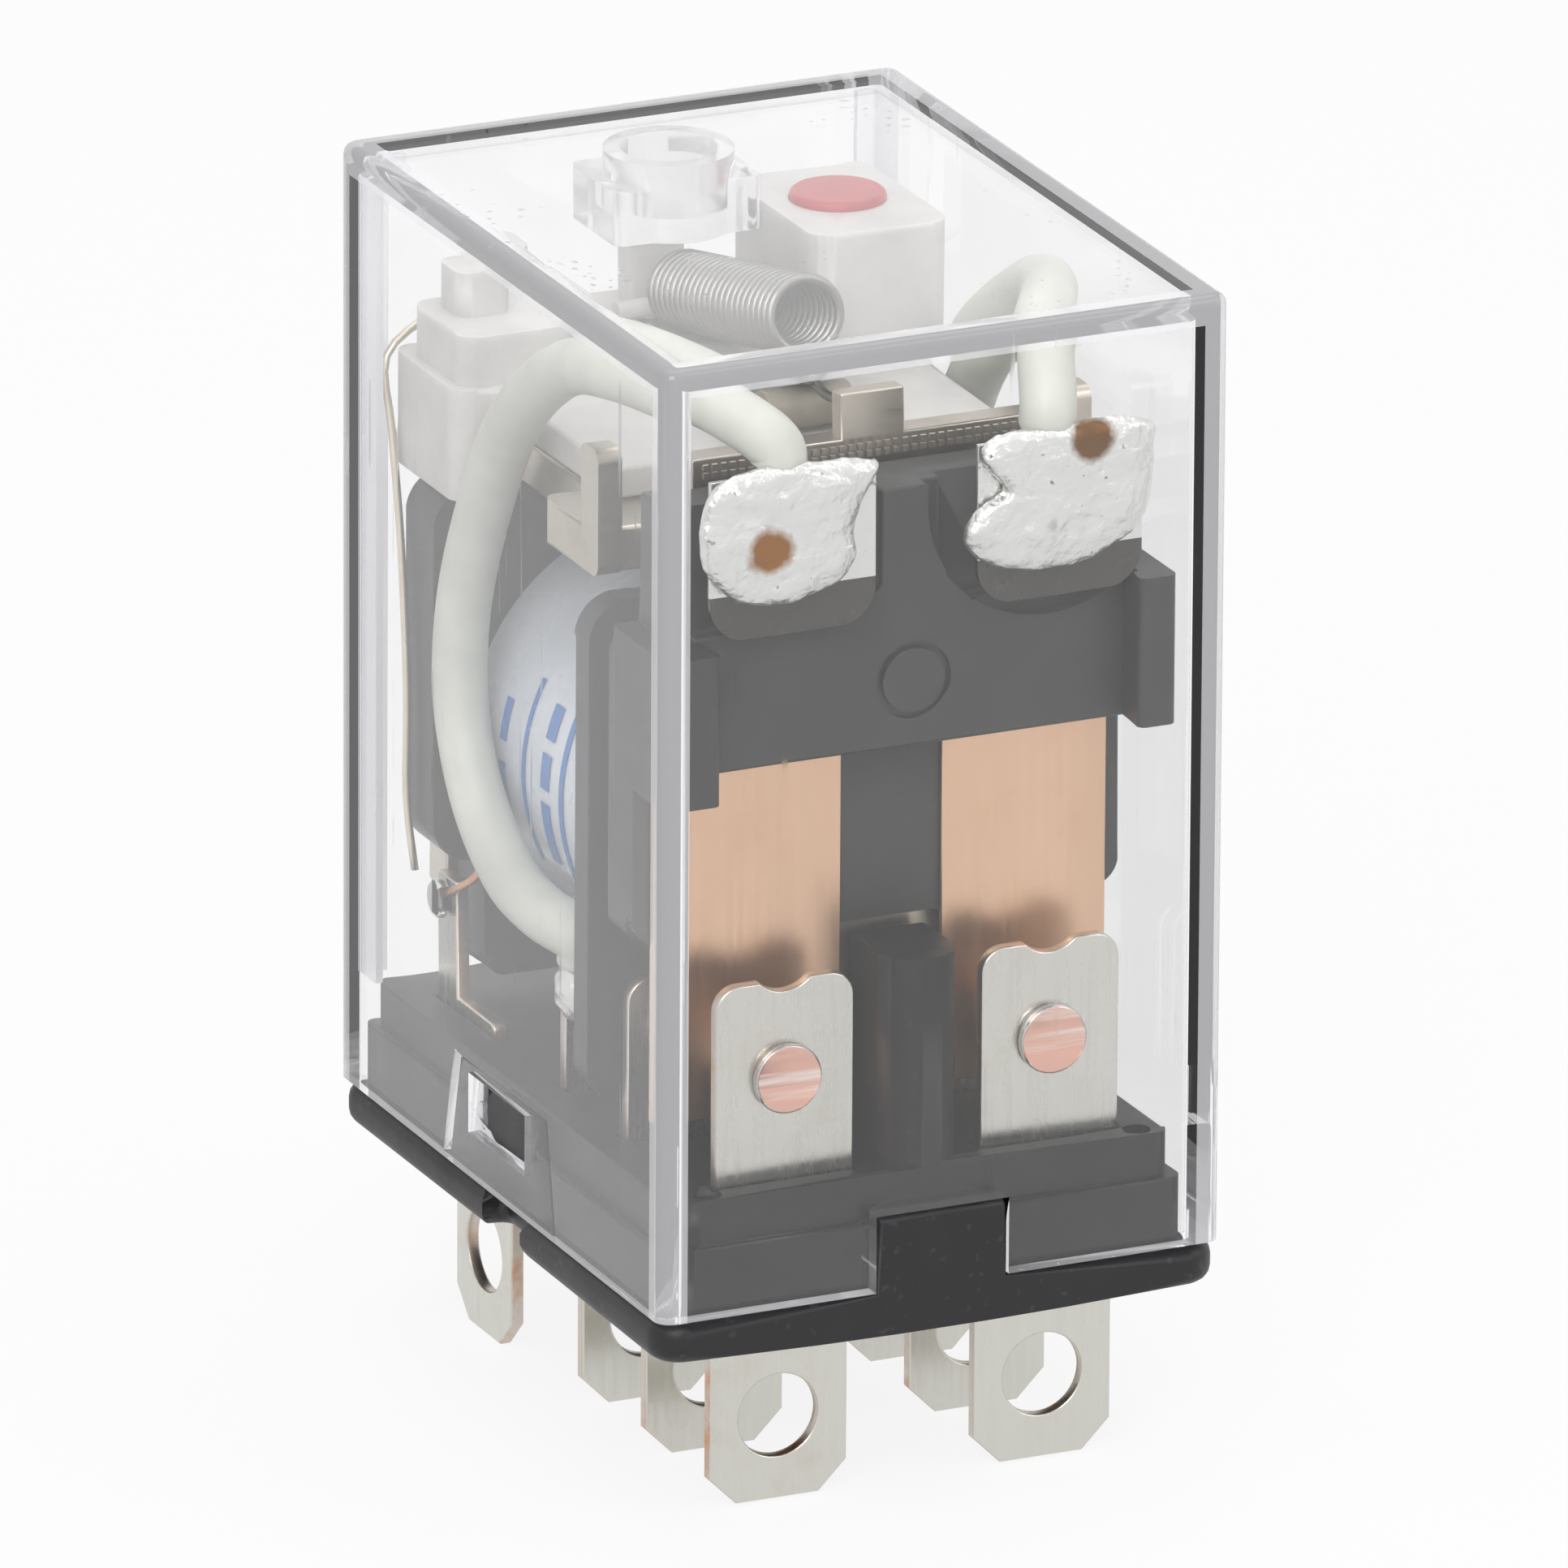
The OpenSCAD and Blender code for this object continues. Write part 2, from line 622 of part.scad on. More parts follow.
// Tension spring with a hook at each end, from the housing's peg to the armature's tongue
module return_spring() {
    color("#a3a39f") {
        translate(spring_rear) rotate([90 - spring_tilt, 0, 0]) difference() {
            cylinder(d = spring_d, h = spring_len);
            translate([0, 0, -1]) cylinder(d = spring_d - 2 * spring_wire, h = spring_len + 2);
        }
        tube(smooth([
            spring_front + [0, 0.1, -spring_d / 2 + spring_wire / 2],
            spring_front + [0, -1.2, -spring_d / 2 - 0.2],
            [0, hinge_y + 1.4, crown_z + 0.5],
            [0, hinge_y + 0.25, crown_z + 0.9]
        ], 4), spring_wire, 8);
        tube(smooth([
            spring_rear + [0, -0.1, -spring_d / 2 + spring_wire / 2],
            spring_peg + [0, 0, -hook_r], spring_peg + [0, 0.71, -0.71] * hook_r,
            spring_peg + [0, hook_r, 0], spring_peg + [0, 0.71, 0.71] * hook_r
        ], 4), spring_wire, 8);
    }
}

module lead(route) {
    color("#ecebe6") tube(smooth(route, rings_per_span), lead_d, lead_sides);
}

// Blob where a lead meets the tab of a common terminal
module com_solder(side) {
    color("#d9d9d6") translate([side * 7.2, com_y - strip_t / 2 - seat, 0]) {
        difference() {
            translate([0, -0.9, 8.4]) cylinder(d = 2, h = 1.85, $fn = 32);
            block([-2, 0, 8], [2, 2, 11]);
        }
    }
}

// ---- indicator ----

trough_rear = 2;                        // room behind the coils for the rear hook

module top_housing() {
    color("#efeeea", 0.85) translate(spring_peg - [spring_d / 2 + 2 * air, 0, 0])
        rotate([0, 90, 0]) cylinder(d = spring_peg_d, h = spring_d + 4 * air);
    color("#efeeea", 0.85) difference() {
        union() {
            block([-yoke_w / 2, -3, housing_z], [yoke_w / 2, yoke_rear_y, housing_deck_z]);
            for (x = [-1, 1])
                translate([x * (bobbin_x - 1.6), 9.2, flange_top_z + 0.1])
                    slab(3.2, 5.6, housing_deck_z - flange_top_z - 0.1, 0.8);
            translate([-bobbin_x + 2.6, 9, housing_deck_z - eps]) slab(4.4, 4.6, 1.8, 0.8);
            translate([-bobbin_x + 2.2, 9.8, housing_deck_z - eps]) slab(2, 2, 3.4, 0.5);
            translate([lens_at[0], lens_at[1] - 0.2, housing_deck_z - eps])
                slab(5.2, 7.4, tower_top_z - housing_deck_z, 0.8);
            translate([0, yoke_rear_y - 1.4, housing_deck_z - eps])
                slab(2.2, 1.2, holder_foot_z - housing_deck_z - 0.1, 0.3);
        }
        block([-yoke_w / 2 - seat, -20, 0], [yoke_w / 2 + seat, 20, housing_z]);
        translate(spring_rear) rotate([90 - spring_tilt, 0, 0])
            translate([0, 0, -trough_rear])
                cylinder(d = spring_d + 2 * air, h = spring_len + trough_rear + 0.5);
        translate([lens_at[0], lens_at[1], housing_deck_z + 0.3])
            cylinder(d = lens_d + 2 * seat, h = tower_top_z);
    }
}

module lamp_holder() {
    color("#f2f3f5", 0.4) difference() {
        union() {
            translate([holder_at[0], holder_at[1] + 0.2, holder_foot_z])
                slab(5.6, 4, inner_z - 1 - holder_foot_z, 0.4);
            translate([holder_at[0], holder_at[1], holder_foot_z])
                cylinder(d = holder_ring_d, h = inner_z - 0.15 - holder_foot_z);
        }
        translate([holder_at[0], holder_at[1], holder_foot_z + 0.8])
            cylinder(d = holder_ring_d - 1.2, h = inner_z);
    }
}

module lamp() {
    color("#f6f0e0") translate([lens_at[0], lens_at[1], housing_deck_z + 0.35]) {
        cylinder(d = 2.6, h = 0.5);
        translate([0, 0, 0.5 - eps]) cylinder(d = 2, h = 1.6);
    }
}

module red_lens() {
    color("#c23038") translate([lens_at[0], lens_at[1], tower_top_z - 1.2]) {
        cylinder(d = lens_d, h = 1.5);
    }
}

resistor_y = -1.6;

module series_resistor() {
    color("#c8b48a") translate([0, resistor_y, housing_deck_z + 0.9]) {
        translate([-1.6, 0, 0]) rotate([0, 90, 0]) cylinder(d = 1.5, h = 3.2);
        for (x = [-1, 1]) translate([x * 2.4 - 0.9, 0, 0]) rotate([0, 90, 0]) cylinder(d = wire_d, h = 1.8);
    }
}

// Bare wire from the lamp circuit down to the coil post
module lamp_wire(side) {
    x = side * (bobbin_x + 0.3);
    color("#c9b28c") tube(smooth([
        [side * (bobbin_x - 1.6), 12.1, 29.8], [x, 11.7, 28.6], [x, 11.2, 26], [x, 10.4, 22],
        [x, 9.9, 17], [x, 9.9, 13], [x - side * 0.2, 9.6, 10.4]
    ], 4), wire_d, 8);
}

base();
cover();
nc_terminal(-1);  // nc_terminal_left
nc_terminal(1);  // nc_terminal_right
no_terminal(-1);  // no_terminal_left
no_terminal(1);  // no_terminal_right
com_terminal(-1);  // com_terminal_left
com_terminal(1);  // com_terminal_right
coil_terminal(-1);  // coil_terminal_left
coil_terminal(1);  // coil_terminal_right
nc_contact(-1);  // nc_contact_left
nc_contact(1);  // nc_contact_right
no_contact(-1);  // no_contact_left
no_contact(1);  // no_contact_right
bobbin();
coil_winding();
coil_tape();
core();
shading_ring();
yoke();
coil_wire(-1);  // coil_wire_left
coil_wire(1);  // coil_wire_right
coil_solder(-1);  // coil_solder_left
coil_solder(1);  // coil_solder_right
armature();
contact_carrier();
moving_spring(-1);  // moving_spring_left
moving_spring(1);  // moving_spring_right
moving_contact(-1);  // moving_contact_left
moving_contact(1);  // moving_contact_right
tab_solder(-1);  // tab_solder_left
tab_solder(1);  // tab_solder_right
return_spring();
lead(left_lead);  // lead_left
lead(right_lead);  // lead_right
com_solder(-1);  // com_solder_left
com_solder(1);  // com_solder_right
top_housing();
lamp_holder();
lamp();
red_lens();
series_resistor();
lamp_wire(-1);  // lamp_wire_left
lamp_wire(1);  // lamp_wire_right
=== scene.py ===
import bpy
import bmesh
import math
from mathutils import Matrix, Vector


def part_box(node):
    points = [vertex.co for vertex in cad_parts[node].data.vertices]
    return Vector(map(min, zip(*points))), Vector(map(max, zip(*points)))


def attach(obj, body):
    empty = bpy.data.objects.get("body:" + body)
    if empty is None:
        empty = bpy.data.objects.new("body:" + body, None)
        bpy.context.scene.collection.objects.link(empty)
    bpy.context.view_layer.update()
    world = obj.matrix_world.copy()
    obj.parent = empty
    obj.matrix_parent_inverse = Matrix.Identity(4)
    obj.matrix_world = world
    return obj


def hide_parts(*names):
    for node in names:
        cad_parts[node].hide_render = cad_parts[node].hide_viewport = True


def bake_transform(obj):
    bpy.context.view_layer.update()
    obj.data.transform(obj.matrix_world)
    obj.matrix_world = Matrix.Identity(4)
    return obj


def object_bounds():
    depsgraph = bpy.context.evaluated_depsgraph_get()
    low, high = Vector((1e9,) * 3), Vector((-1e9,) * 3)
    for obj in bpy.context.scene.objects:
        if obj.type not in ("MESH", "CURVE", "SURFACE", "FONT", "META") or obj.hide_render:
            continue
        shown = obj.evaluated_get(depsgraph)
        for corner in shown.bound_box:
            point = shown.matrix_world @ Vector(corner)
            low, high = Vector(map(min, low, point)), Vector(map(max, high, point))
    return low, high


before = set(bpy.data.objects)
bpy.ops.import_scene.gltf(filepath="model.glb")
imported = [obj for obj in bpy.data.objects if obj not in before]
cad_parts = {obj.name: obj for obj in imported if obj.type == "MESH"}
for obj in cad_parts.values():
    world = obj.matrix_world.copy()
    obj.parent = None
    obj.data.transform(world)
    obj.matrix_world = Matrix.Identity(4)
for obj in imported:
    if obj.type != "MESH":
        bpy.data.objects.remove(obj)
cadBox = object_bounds()
mm = 0.001
sides = ("left", "right")
print("stage: frame loaded")

view = {
    "azimuth": -24.5034,
    "elevation": 19.576,
    "roll": 0.3133,
    "distance": 985.0,
    "lens": 654.6,
    "sensor": 36,
    "clip": (0.05, 10),
    "target": (0.0, 0.0, 17.287),
    "aside": 0.18,  # how far the aim is moved across the view, in millimetres
    "down": 1.87,
}


def placeCamera():
    azimuth = math.radians(view["azimuth"])
    elevation = math.radians(view["elevation"])
    roll = math.radians(view["roll"])
    back = Vector((
        math.sin(azimuth) * math.cos(elevation),
        -math.cos(azimuth) * math.cos(elevation),
        math.sin(elevation),
    ))
    level = Vector((math.cos(azimuth), math.sin(azimuth), 0))
    upright = back.cross(level)
    side = math.cos(roll) * level + math.sin(roll) * upright
    top = math.cos(roll) * upright - math.sin(roll) * level
    aim = Vector(view["target"]) + view["aside"] * side - view["down"] * top
    camera = bpy.data.cameras.new("camera")
    camera.lens = view["lens"]
    camera.sensor_width = view["sensor"]
    camera.clip_start, camera.clip_end = view["clip"]
    holder = bpy.data.objects.new("camera", camera)
    turn = Matrix((side, top, back)).transposed().to_4x4()
    holder.matrix_world = Matrix.Translation((aim + back * view["distance"]) * mm) @ turn
    bpy.context.scene.collection.objects.link(holder)
    bpy.context.scene.camera = holder


placeCamera()


# Small makers of shader nodes, used by the studio, the groups and the materials.
def mathNode(tree, operation, first, second):
    node = tree.nodes.new("ShaderNodeMath")
    node.operation = operation
    for index, value in enumerate((first, second)):
        if hasattr(value, "links"):
            tree.links.new(value, node.inputs[index])
        else:
            node.inputs[index].default_value = value
    return node.outputs[0]


def times(tree, first, second):
    return mathNode(tree, "MULTIPLY", first, second)


def plus(tree, first, second):
    return mathNode(tree, "ADD", first, second)


def vectorNode(tree, operation, first, second):
    node = tree.nodes.new("ShaderNodeVectorMath")
    node.operation = operation
    tree.links.new(first, node.inputs[0])
    tree.links.new(second, node.inputs[1])
    return node.outputs["Value" if operation == "DISTANCE" else "Vector"]


def noiseNode(tree, coords, scale, detail, roughness):
    noise = tree.nodes.new("ShaderNodeTexNoise")
    noise.inputs["Scale"].default_value = scale
    noise.inputs["Detail"].default_value = detail
    noise.inputs["Roughness"].default_value = roughness
    tree.links.new(coords, noise.inputs["Vector"])
    return noise.outputs["Fac"]


def rampNode(tree, value, low, high):
    ramp = tree.nodes.new("ShaderNodeMapRange")
    ramp.inputs["From Min"].default_value = low
    ramp.inputs["From Max"].default_value = high
    tree.links.new(value, ramp.inputs["Value"])
    return ramp.outputs["Result"]


def mixNode(tree, share, first, second, blend="MIX"):
    mix = tree.nodes.new("ShaderNodeMix")
    mix.data_type = "RGBA"
    mix.blend_type = blend
    tree.links.new(share, mix.inputs["Factor"])
    for socket, value in ((mix.inputs["A"], first), (mix.inputs["B"], second)):
        if hasattr(value, "links"):
            tree.links.new(value, socket)
        else:
            socket.default_value = (*value, 1)
    return mix.outputs["Result"]


def mixShaders(tree, share, first, second, output):
    mix = tree.nodes.new("ShaderNodeMixShader")
    tree.links.new(share, mix.inputs["Fac"])
    tree.links.new(first.outputs[0], mix.inputs[1])
    tree.links.new(second.outputs[0], mix.inputs[2])
    tree.links.new(mix.outputs[0], output.inputs["Surface"])


studio = {
    "aim": (0, 0, 0.015),
    "floorSize": 3.0,
    "floorDrop": 0.1,  # millimetres below the tips of the blades
    "floorPaper": (0.93, 0.93, 0.93),
    "floorGlow": 0.88,
    "worldLevel": 0.5,
    "seenLevel": 1.0,
    "lamps": {
        "keyLamp": {"place": (-0.25, -0.35, 0.35), "size": (0.3, 0.3), "power": 1.1},
        "fillLamp": {"place": (0.35, -0.28, 0.34), "size": (0.3, 0.4), "power": 0.45},
        "topLamp": {"place": (0.05, 0.1, 0.5), "size": (0.4, 0.4), "power": 0.6},
    },
}
white = (1, 1, 1, 1)


def aimedLamp(name, place, size, power):
    lamp = bpy.data.lights.new(name, "AREA")
    lamp.shape = "RECTANGLE"
    lamp.size, lamp.size_y = size
    lamp.energy = power
    holder = bpy.data.objects.new(name, lamp)
    holder.location = place
    holder.rotation_euler = (Vector(studio["aim"]) - Vector(place)).to_track_quat("-Z", "Y").to_euler()
    bpy.context.scene.collection.objects.link(holder)


def emptyTree(owner):
    owner.use_nodes = True
    owner.node_tree.nodes.clear()
    return owner.node_tree


def seenRays(tree):  # the camera's own rays, and those that metal and glass pass on
    rays = tree.nodes.new("ShaderNodeLightPath").outputs
    passedOn = mathNode(tree, "MAXIMUM", rays["Is Glossy Ray"], rays["Is Transmission Ray"])
    return mathNode(tree, "MAXIMUM", rays["Is Camera Ray"], passedOn)


def skyNode(tree, level):
    sky = tree.nodes.new("ShaderNodeBackground")
    sky.inputs["Color"].default_value = white
    sky.inputs["Strength"].default_value = level
    return sky


def buildWorld():  # lights the object at one level and is seen at another
    world = bpy.data.worlds.new("studio")
    bpy.context.scene.world = world
    tree = emptyTree(world)
    mixShaders(tree, seenRays(tree), skyNode(tree, studio["worldLevel"]), skyNode(tree, studio["seenLevel"]),
               tree.nodes.new("ShaderNodeOutputWorld"))


def paperMaterial():
    material = bpy.data.materials.new("floorPaper")
    tree = emptyTree(material)
    paper = tree.nodes.new("ShaderNodeBsdfDiffuse")
    paper.inputs["Color"].default_value = (*studio["floorPaper"], 1)
    glow = tree.nodes.new("ShaderNodeEmission")
    glow.inputs["Color"].default_value = white
    mixShaders(tree, times(tree, seenRays(tree), studio["floorGlow"]), paper, glow,
               tree.nodes.new("ShaderNodeOutputMaterial"))
    return material


def buildFloor():
    bm = bmesh.new()
    bmesh.ops.create_grid(bm, x_segments=1, y_segments=1, size=studio["floorSize"])
    bmesh.ops.translate(bm, verts=bm.verts, vec=(0, 0, cadBox[0][2] - studio["floorDrop"] * mm))
    mesh = bpy.data.meshes.new("floor")
    bm.to_mesh(mesh)
    bm.free()
    mesh.materials.append(paperMaterial())
    floor = bpy.data.objects.new("floor", mesh)
    bpy.context.scene.collection.objects.link(floor)


bpy.context.scene.view_settings.view_transform = "Standard"
buildWorld()
buildFloor()
for lampName, lampValues in studio["lamps"].items():
    aimedLamp(lampName, **lampValues)
print("stage: camera and studio")

vectorKind, colourKind, numberKind = "NodeSocketVector", "NodeSocketColor", "NodeSocketFloat"
surfaceOutputs = (("Colour", colourKind), ("Roughness", numberKind), ("Height", numberKind))


def newGroup(name, inputs, outputs=surfaceOutputs):
    group = bpy.data.node_groups.new(name, "ShaderNodeTree")
    for label, kind, value in (("Vector", vectorKind, (0, 0, 0)), *inputs):
        socket = group.interface.new_socket(label, in_out="INPUT", socket_type=kind)
        socket.default_value = value
    for label, kind in outputs:
        group.interface.new_socket(label, in_out="OUTPUT", socket_type=kind)
    enter = group.nodes.new("NodeGroupInput").outputs
    leave = group.nodes.new("NodeGroupOutput").inputs
    return group, enter, leave


def finishGroup(group, leave, results):
    for label, socket in results.items():
        group.links.new(socket, leave[label])
    return group


# Each noise is given as scale, detail and roughness, each range as where it starts and is full.
grain = {
    "cloud": (300, 3, 0.6),
    "cloudRange": (0.3, 0.75),
    "cloudShade": (0.78, 0.78, 0.79),
    "cloudShine": 0.25,
    "cloudShineMiddle": 0.12,
    "cloudHeight": 0.4,
    "fine": (11000, 2, 0.6),
    "dust": (2600, 1, 0.4),
    "dustRange": (0.66, 0.74),
}


def makeGrainGroup():  # moulded plastic: fine grain, light specks, faint cloudiness
    group, enter, leave = newGroup("mouldedGrain", (
        ("Base", colourKind, (0.1, 0.1, 0.1, 1)), ("Speck", colourKind, (0.4, 0.4, 0.4, 1)),
        ("Speck Share", numberKind, 0.3), ("Roughness", numberKind, 0.5),
    ))
    cloud = noiseNode(group, enter["Vector"], *grain["cloud"])
    fine = noiseNode(group, enter["Vector"], *grain["fine"])
    dust = noiseNode(group, enter["Vector"], *grain["dust"])
    clouded = mixNode(group, rampNode(group, cloud, *grain["cloudRange"]), enter["Base"],
                      grain["cloudShade"], "MULTIPLY")
    specks = times(group, rampNode(group, dust, *grain["dustRange"]), enter["Speck Share"])
    uneven = mathNode(group, "SUBTRACT", times(group, cloud, grain["cloudShine"]), grain["cloudShineMiddle"])
    return finishGroup(group, leave, {
        "Colour": mixNode(group, specks, clouded, enter["Speck"]),
        "Roughness": plus(group, enter["Roughness"], uneven),
        "Height": plus(group, fine, times(group, cloud, grain["cloudHeight"])),
    })


rolled = {
    "streak": (5000, 3, 0.6),
    "streakRange": (0.3, 0.8),
    "streakShare": 0.06,
    "streakColour": (0.35, 0.34, 0.32),
    "streakMiddle": 0.5,
    "streakShine": 0.25,
    "sheenAndStain": (420, 5, 0.65),
    "sheenAndStainRange": (0.52, 0.72),
    "pits": (3200, 2, 0.6),
    "pitHeight": 0.6,
}


def makeMetalGroup():  # drawn or rolled metal: streaks along one direction, stains, small pits; on the contact faces the stain colour makes painted reflection bands
    group, enter, leave = newGroup("rolledMetal", (
        ("Base", colourKind, (0.8, 0.8, 0.8, 1)), ("Stain And Sheen", colourKind, (0.5, 0.4, 0.3, 1)),
        ("Stain And Sheen Share", numberKind, 0.4), ("Roughness", numberKind, 0.3),
        ("Streaks", vectorKind, (1, 1, 0.1)), ("Stain And Sheen Stretch", vectorKind, (1, 1, 1)),
    ))
    drawnOut = vectorNode(group, "MULTIPLY", enter["Vector"], enter["Streaks"])
    spread = vectorNode(group, "MULTIPLY", enter["Vector"], enter["Stain And Sheen Stretch"])
    streak = noiseNode(group, drawnOut, *rolled["streak"])
    sheenAndStain = noiseNode(group, spread, *rolled["sheenAndStain"])
    pits = noiseNode(group, enter["Vector"], *rolled["pits"])
    sheenAndStainShare = times(group, rampNode(group, sheenAndStain, *rolled["sheenAndStainRange"]), enter["Stain And Sheen Share"])
    toned = mixNode(group, sheenAndStainShare, enter["Base"], enter["Stain And Sheen"])
    lines = times(group, rampNode(group, streak, *rolled["streakRange"]), rolled["streakShare"])
    uneven = times(group, mathNode(group, "SUBTRACT", streak, rolled["streakMiddle"]), rolled["streakShine"])
    return finishGroup(group, leave, {
        "Colour": mixNode(group, lines, toned, rolled["streakColour"]),
        "Roughness": plus(group, enter["Roughness"], uneven),
        "Height": plus(group, streak, times(group, pits, rolled["pitHeight"])),
    })


frozen = {
    "cloud": (330, 4, 0.6),
    "amberRange": (0.66, 0.76),
    "cloudHeight": 2.0,
    "folds": (900, 5, 0.7),
    "foldShine": 0.2,
    "flecks": (2100, 2, 0.6),
    "fleckRange": (0.68, 0.76),
    "fleckShare": 0.8,
    "fleckColour": (0.08, 0.06, 0.05),
    "spotRagged": 0.7,
    "spotRange": (1.0, 1.35),
}


def makeSolderGroup():  # bright frozen metal with creases, dark flecks and one burnt spot of flux
    group, enter, leave = newGroup("frozenSolder", (
        ("Base", colourKind, (0.85, 0.85, 0.83, 1)), ("Flux", colourKind, (0.35, 0.16, 0.03, 1)),
        ("Flux Share", numberKind, 1.0), ("Roughness", numberKind, 0.2),
        ("Spot", vectorKind, (0, 0, 0)), ("Spot Radius", numberKind, 0.001),
    ))
    cloud = noiseNode(group, enter["Vector"], *frozen["cloud"])
    folds = noiseNode(group, enter["Vector"], *frozen["folds"])
    flecks = noiseNode(group, enter["Vector"], *frozen["flecks"])
    amber = times(group, rampNode(group, cloud, *frozen["amberRange"]), enter["Flux Share"])
    away = vectorNode(group, "DISTANCE", enter["Vector"], enter["Spot"])
    reach = mathNode(group, "DIVIDE", away, enter["Spot Radius"])
    ragged = plus(group, reach, times(group, folds, frozen["spotRagged"]))
    spot = mathNode(group, "SUBTRACT", 1.0, rampNode(group, ragged, *frozen["spotRange"]))
    toned = mixNode(group, mathNode(group, "MAXIMUM", amber, spot), enter["Base"], enter["Flux"])
    dark = times(group, rampNode(group, flecks, *frozen["fleckRange"]), frozen["fleckShare"])
    return finishGroup(group, leave, {
        "Colour": mixNode(group, dark, toned, frozen["fleckColour"]),
        "Roughness": plus(group, enter["Roughness"], times(group, folds, frozen["foldShine"])),
        "Height": plus(group, folds, times(group, cloud, frozen["cloudHeight"])),
    })


scuffed = {
    "turn": (0.5, 0.35, 0.7),
    "stretch": (1, 1, 0.03),
    "hair": (2600, 1, 0.3),
    "hairRange": (0.70, 0.73),
    "patches": (180, 2, 0.6),
    "patchRange": (0.52, 0.62),
}


def makeHazeGroup():  # clear plastic: hairline scratches in a few patches
    group, enter, leave = newGroup("scuffedClear", (
        ("Roughness", numberKind, 0.02), ("Scuffs", numberKind, 0.1),
    ), (("Roughness", numberKind), ("Height", numberKind)))
    turned = group.nodes.new("ShaderNodeMapping")
    turned.inputs["Rotation"].default_value = scuffed["turn"]
    turned.inputs["Scale"].default_value = scuffed["stretch"]
    group.links.new(enter["Vector"], turned.inputs["Vector"])
    hair = noiseNode(group, turned.outputs["Vector"], *scuffed["hair"])
    patches = noiseNode(group, enter["Vector"], *scuffed["patches"])
    lines = times(group, rampNode(group, hair, *scuffed["hairRange"]),
                  rampNode(group, patches, *scuffed["patchRange"]))
    return finishGroup(group, leave, {
        "Roughness": plus(group, enter["Roughness"], times(group, lines, enter["Scuffs"])),
        "Height": times(group, lines, -1.0),
    })


mouldedGrain = makeGrainGroup()
rolledMetal = makeMetalGroup()
frozenSolder = makeSolderGroup()
scuffedClear = makeHazeGroup()


def startMaterial(name, metallic=0.0):
    material = bpy.data.materials.new(name)
    material.use_nodes = True
    tree = material.node_tree
    shader = tree.nodes["Principled BSDF"]
    shader.inputs["Metallic"].default_value = metallic
    return material, tree, shader


def useGroup(tree, shader, group, values, bump):  # bump is its strength and its height in millimetres
    node = tree.nodes.new("ShaderNodeGroup")
    node.node_tree = group
    tree.links.new(tree.nodes.new("ShaderNodeTexCoord").outputs["Object"], node.inputs["Vector"])
    for label, value in values.items():
        isColour = node.inputs[label].type == "RGBA"
        node.inputs[label].default_value = (*value, 1) if isColour else value
    if "Colour" in node.outputs:
        tree.links.new(node.outputs["Colour"], shader.inputs["Base Color"])
    tree.links.new(node.outputs["Roughness"], shader.inputs["Roughness"])
    relief = tree.nodes.new("ShaderNodeBump")
    relief.inputs["Strength"].default_value = bump[0]
    relief.inputs["Distance"].default_value = bump[1] * mm
    tree.links.new(node.outputs["Height"], relief.inputs["Height"])
    tree.links.new(relief.outputs["Normal"], shader.inputs["Normal"])


milky = {"radius": (0.9, 0.85, 0.8), "depth": 1.2}

# Base colour, roughness, speck colour, speck share, bump, then milkiness and coat where there are any.
plastics = {
    "basePlastic": ((0.011, 0.011, 0.013), 0.46, (0.07, 0.07, 0.08), 0.3, (0.1, 0.012)),
    "carrierPlastic": ((0.042, 0.044, 0.041), 0.42, (0.09, 0.09, 0.09), 0.2, (0.07, 0.01)),
    "bobbinPlastic": ((0.010, 0.011, 0.016), 0.4, (0.07, 0.07, 0.09), 0.2, (0.08, 0.012)),
    "milkyPlastic": ((0.66, 0.645, 0.625), 0.42, (0.85, 0.85, 0.85), 0.1, (0.12, 0.02), 0.4),
    "leadSleeve": ((0.70, 0.71, 0.64), 0.45, (0.55, 0.55, 0.5), 0.15, (0.12, 0.03), 0.3),
    "tapeFilm": ((0.74, 0.78, 0.84), 0.28, (0.9, 0.92, 0.95), 0.2, (0.12, 0.03), 0.2, 0.3),
    "tapeMark": ((0.02, 0.18, 0.55), 0.4, (0.3, 0.5, 0.8), 0.4, (0.1, 0.02)),
    "redLens": ((0.45, 0.004, 0.012), 0.4, (0.7, 0.08, 0.08), 0.15, (0.08, 0.02), 0.0, 0.3),
    "lampGlow": ((0.85, 0.8, 0.68), 0.2, (1, 1, 1), 0.2, (0.1, 0.02), 0.4, 0.4),
    "resistorBody": ((0.36, 0.33, 0.27), 0.4, (0.5, 0.45, 0.38), 0.3, (0.2, 0.03)),
    # dark glossy finish for the lower soldered tabs: painted shade for the carrier pocket's shadow
    "fluxVarnish": ((0.03, 0.026, 0.02), 0.14, (0.14, 0.10, 0.05), 0.12, (0.05, 0.01), 0.0, 0.6),
}


def plasticMaterial(name, base, roughness, speck, share, bump, milkiness=0.0, coat=0.0):
    material, tree, shader = startMaterial(name)
    useGroup(tree, shader, mouldedGrain,
             {"Base": base, "Speck": speck, "Speck Share": share, "Roughness": roughness}, bump)
    if milkiness:
        shader.inputs["Subsurface Weight"].default_value = milkiness
        shader.inputs["Subsurface Radius"].default_value = milky["radius"]
        shader.inputs["Subsurface Scale"].default_value = milky["depth"] * mm
    shader.inputs["Coat Weight"].default_value = coat
    return material
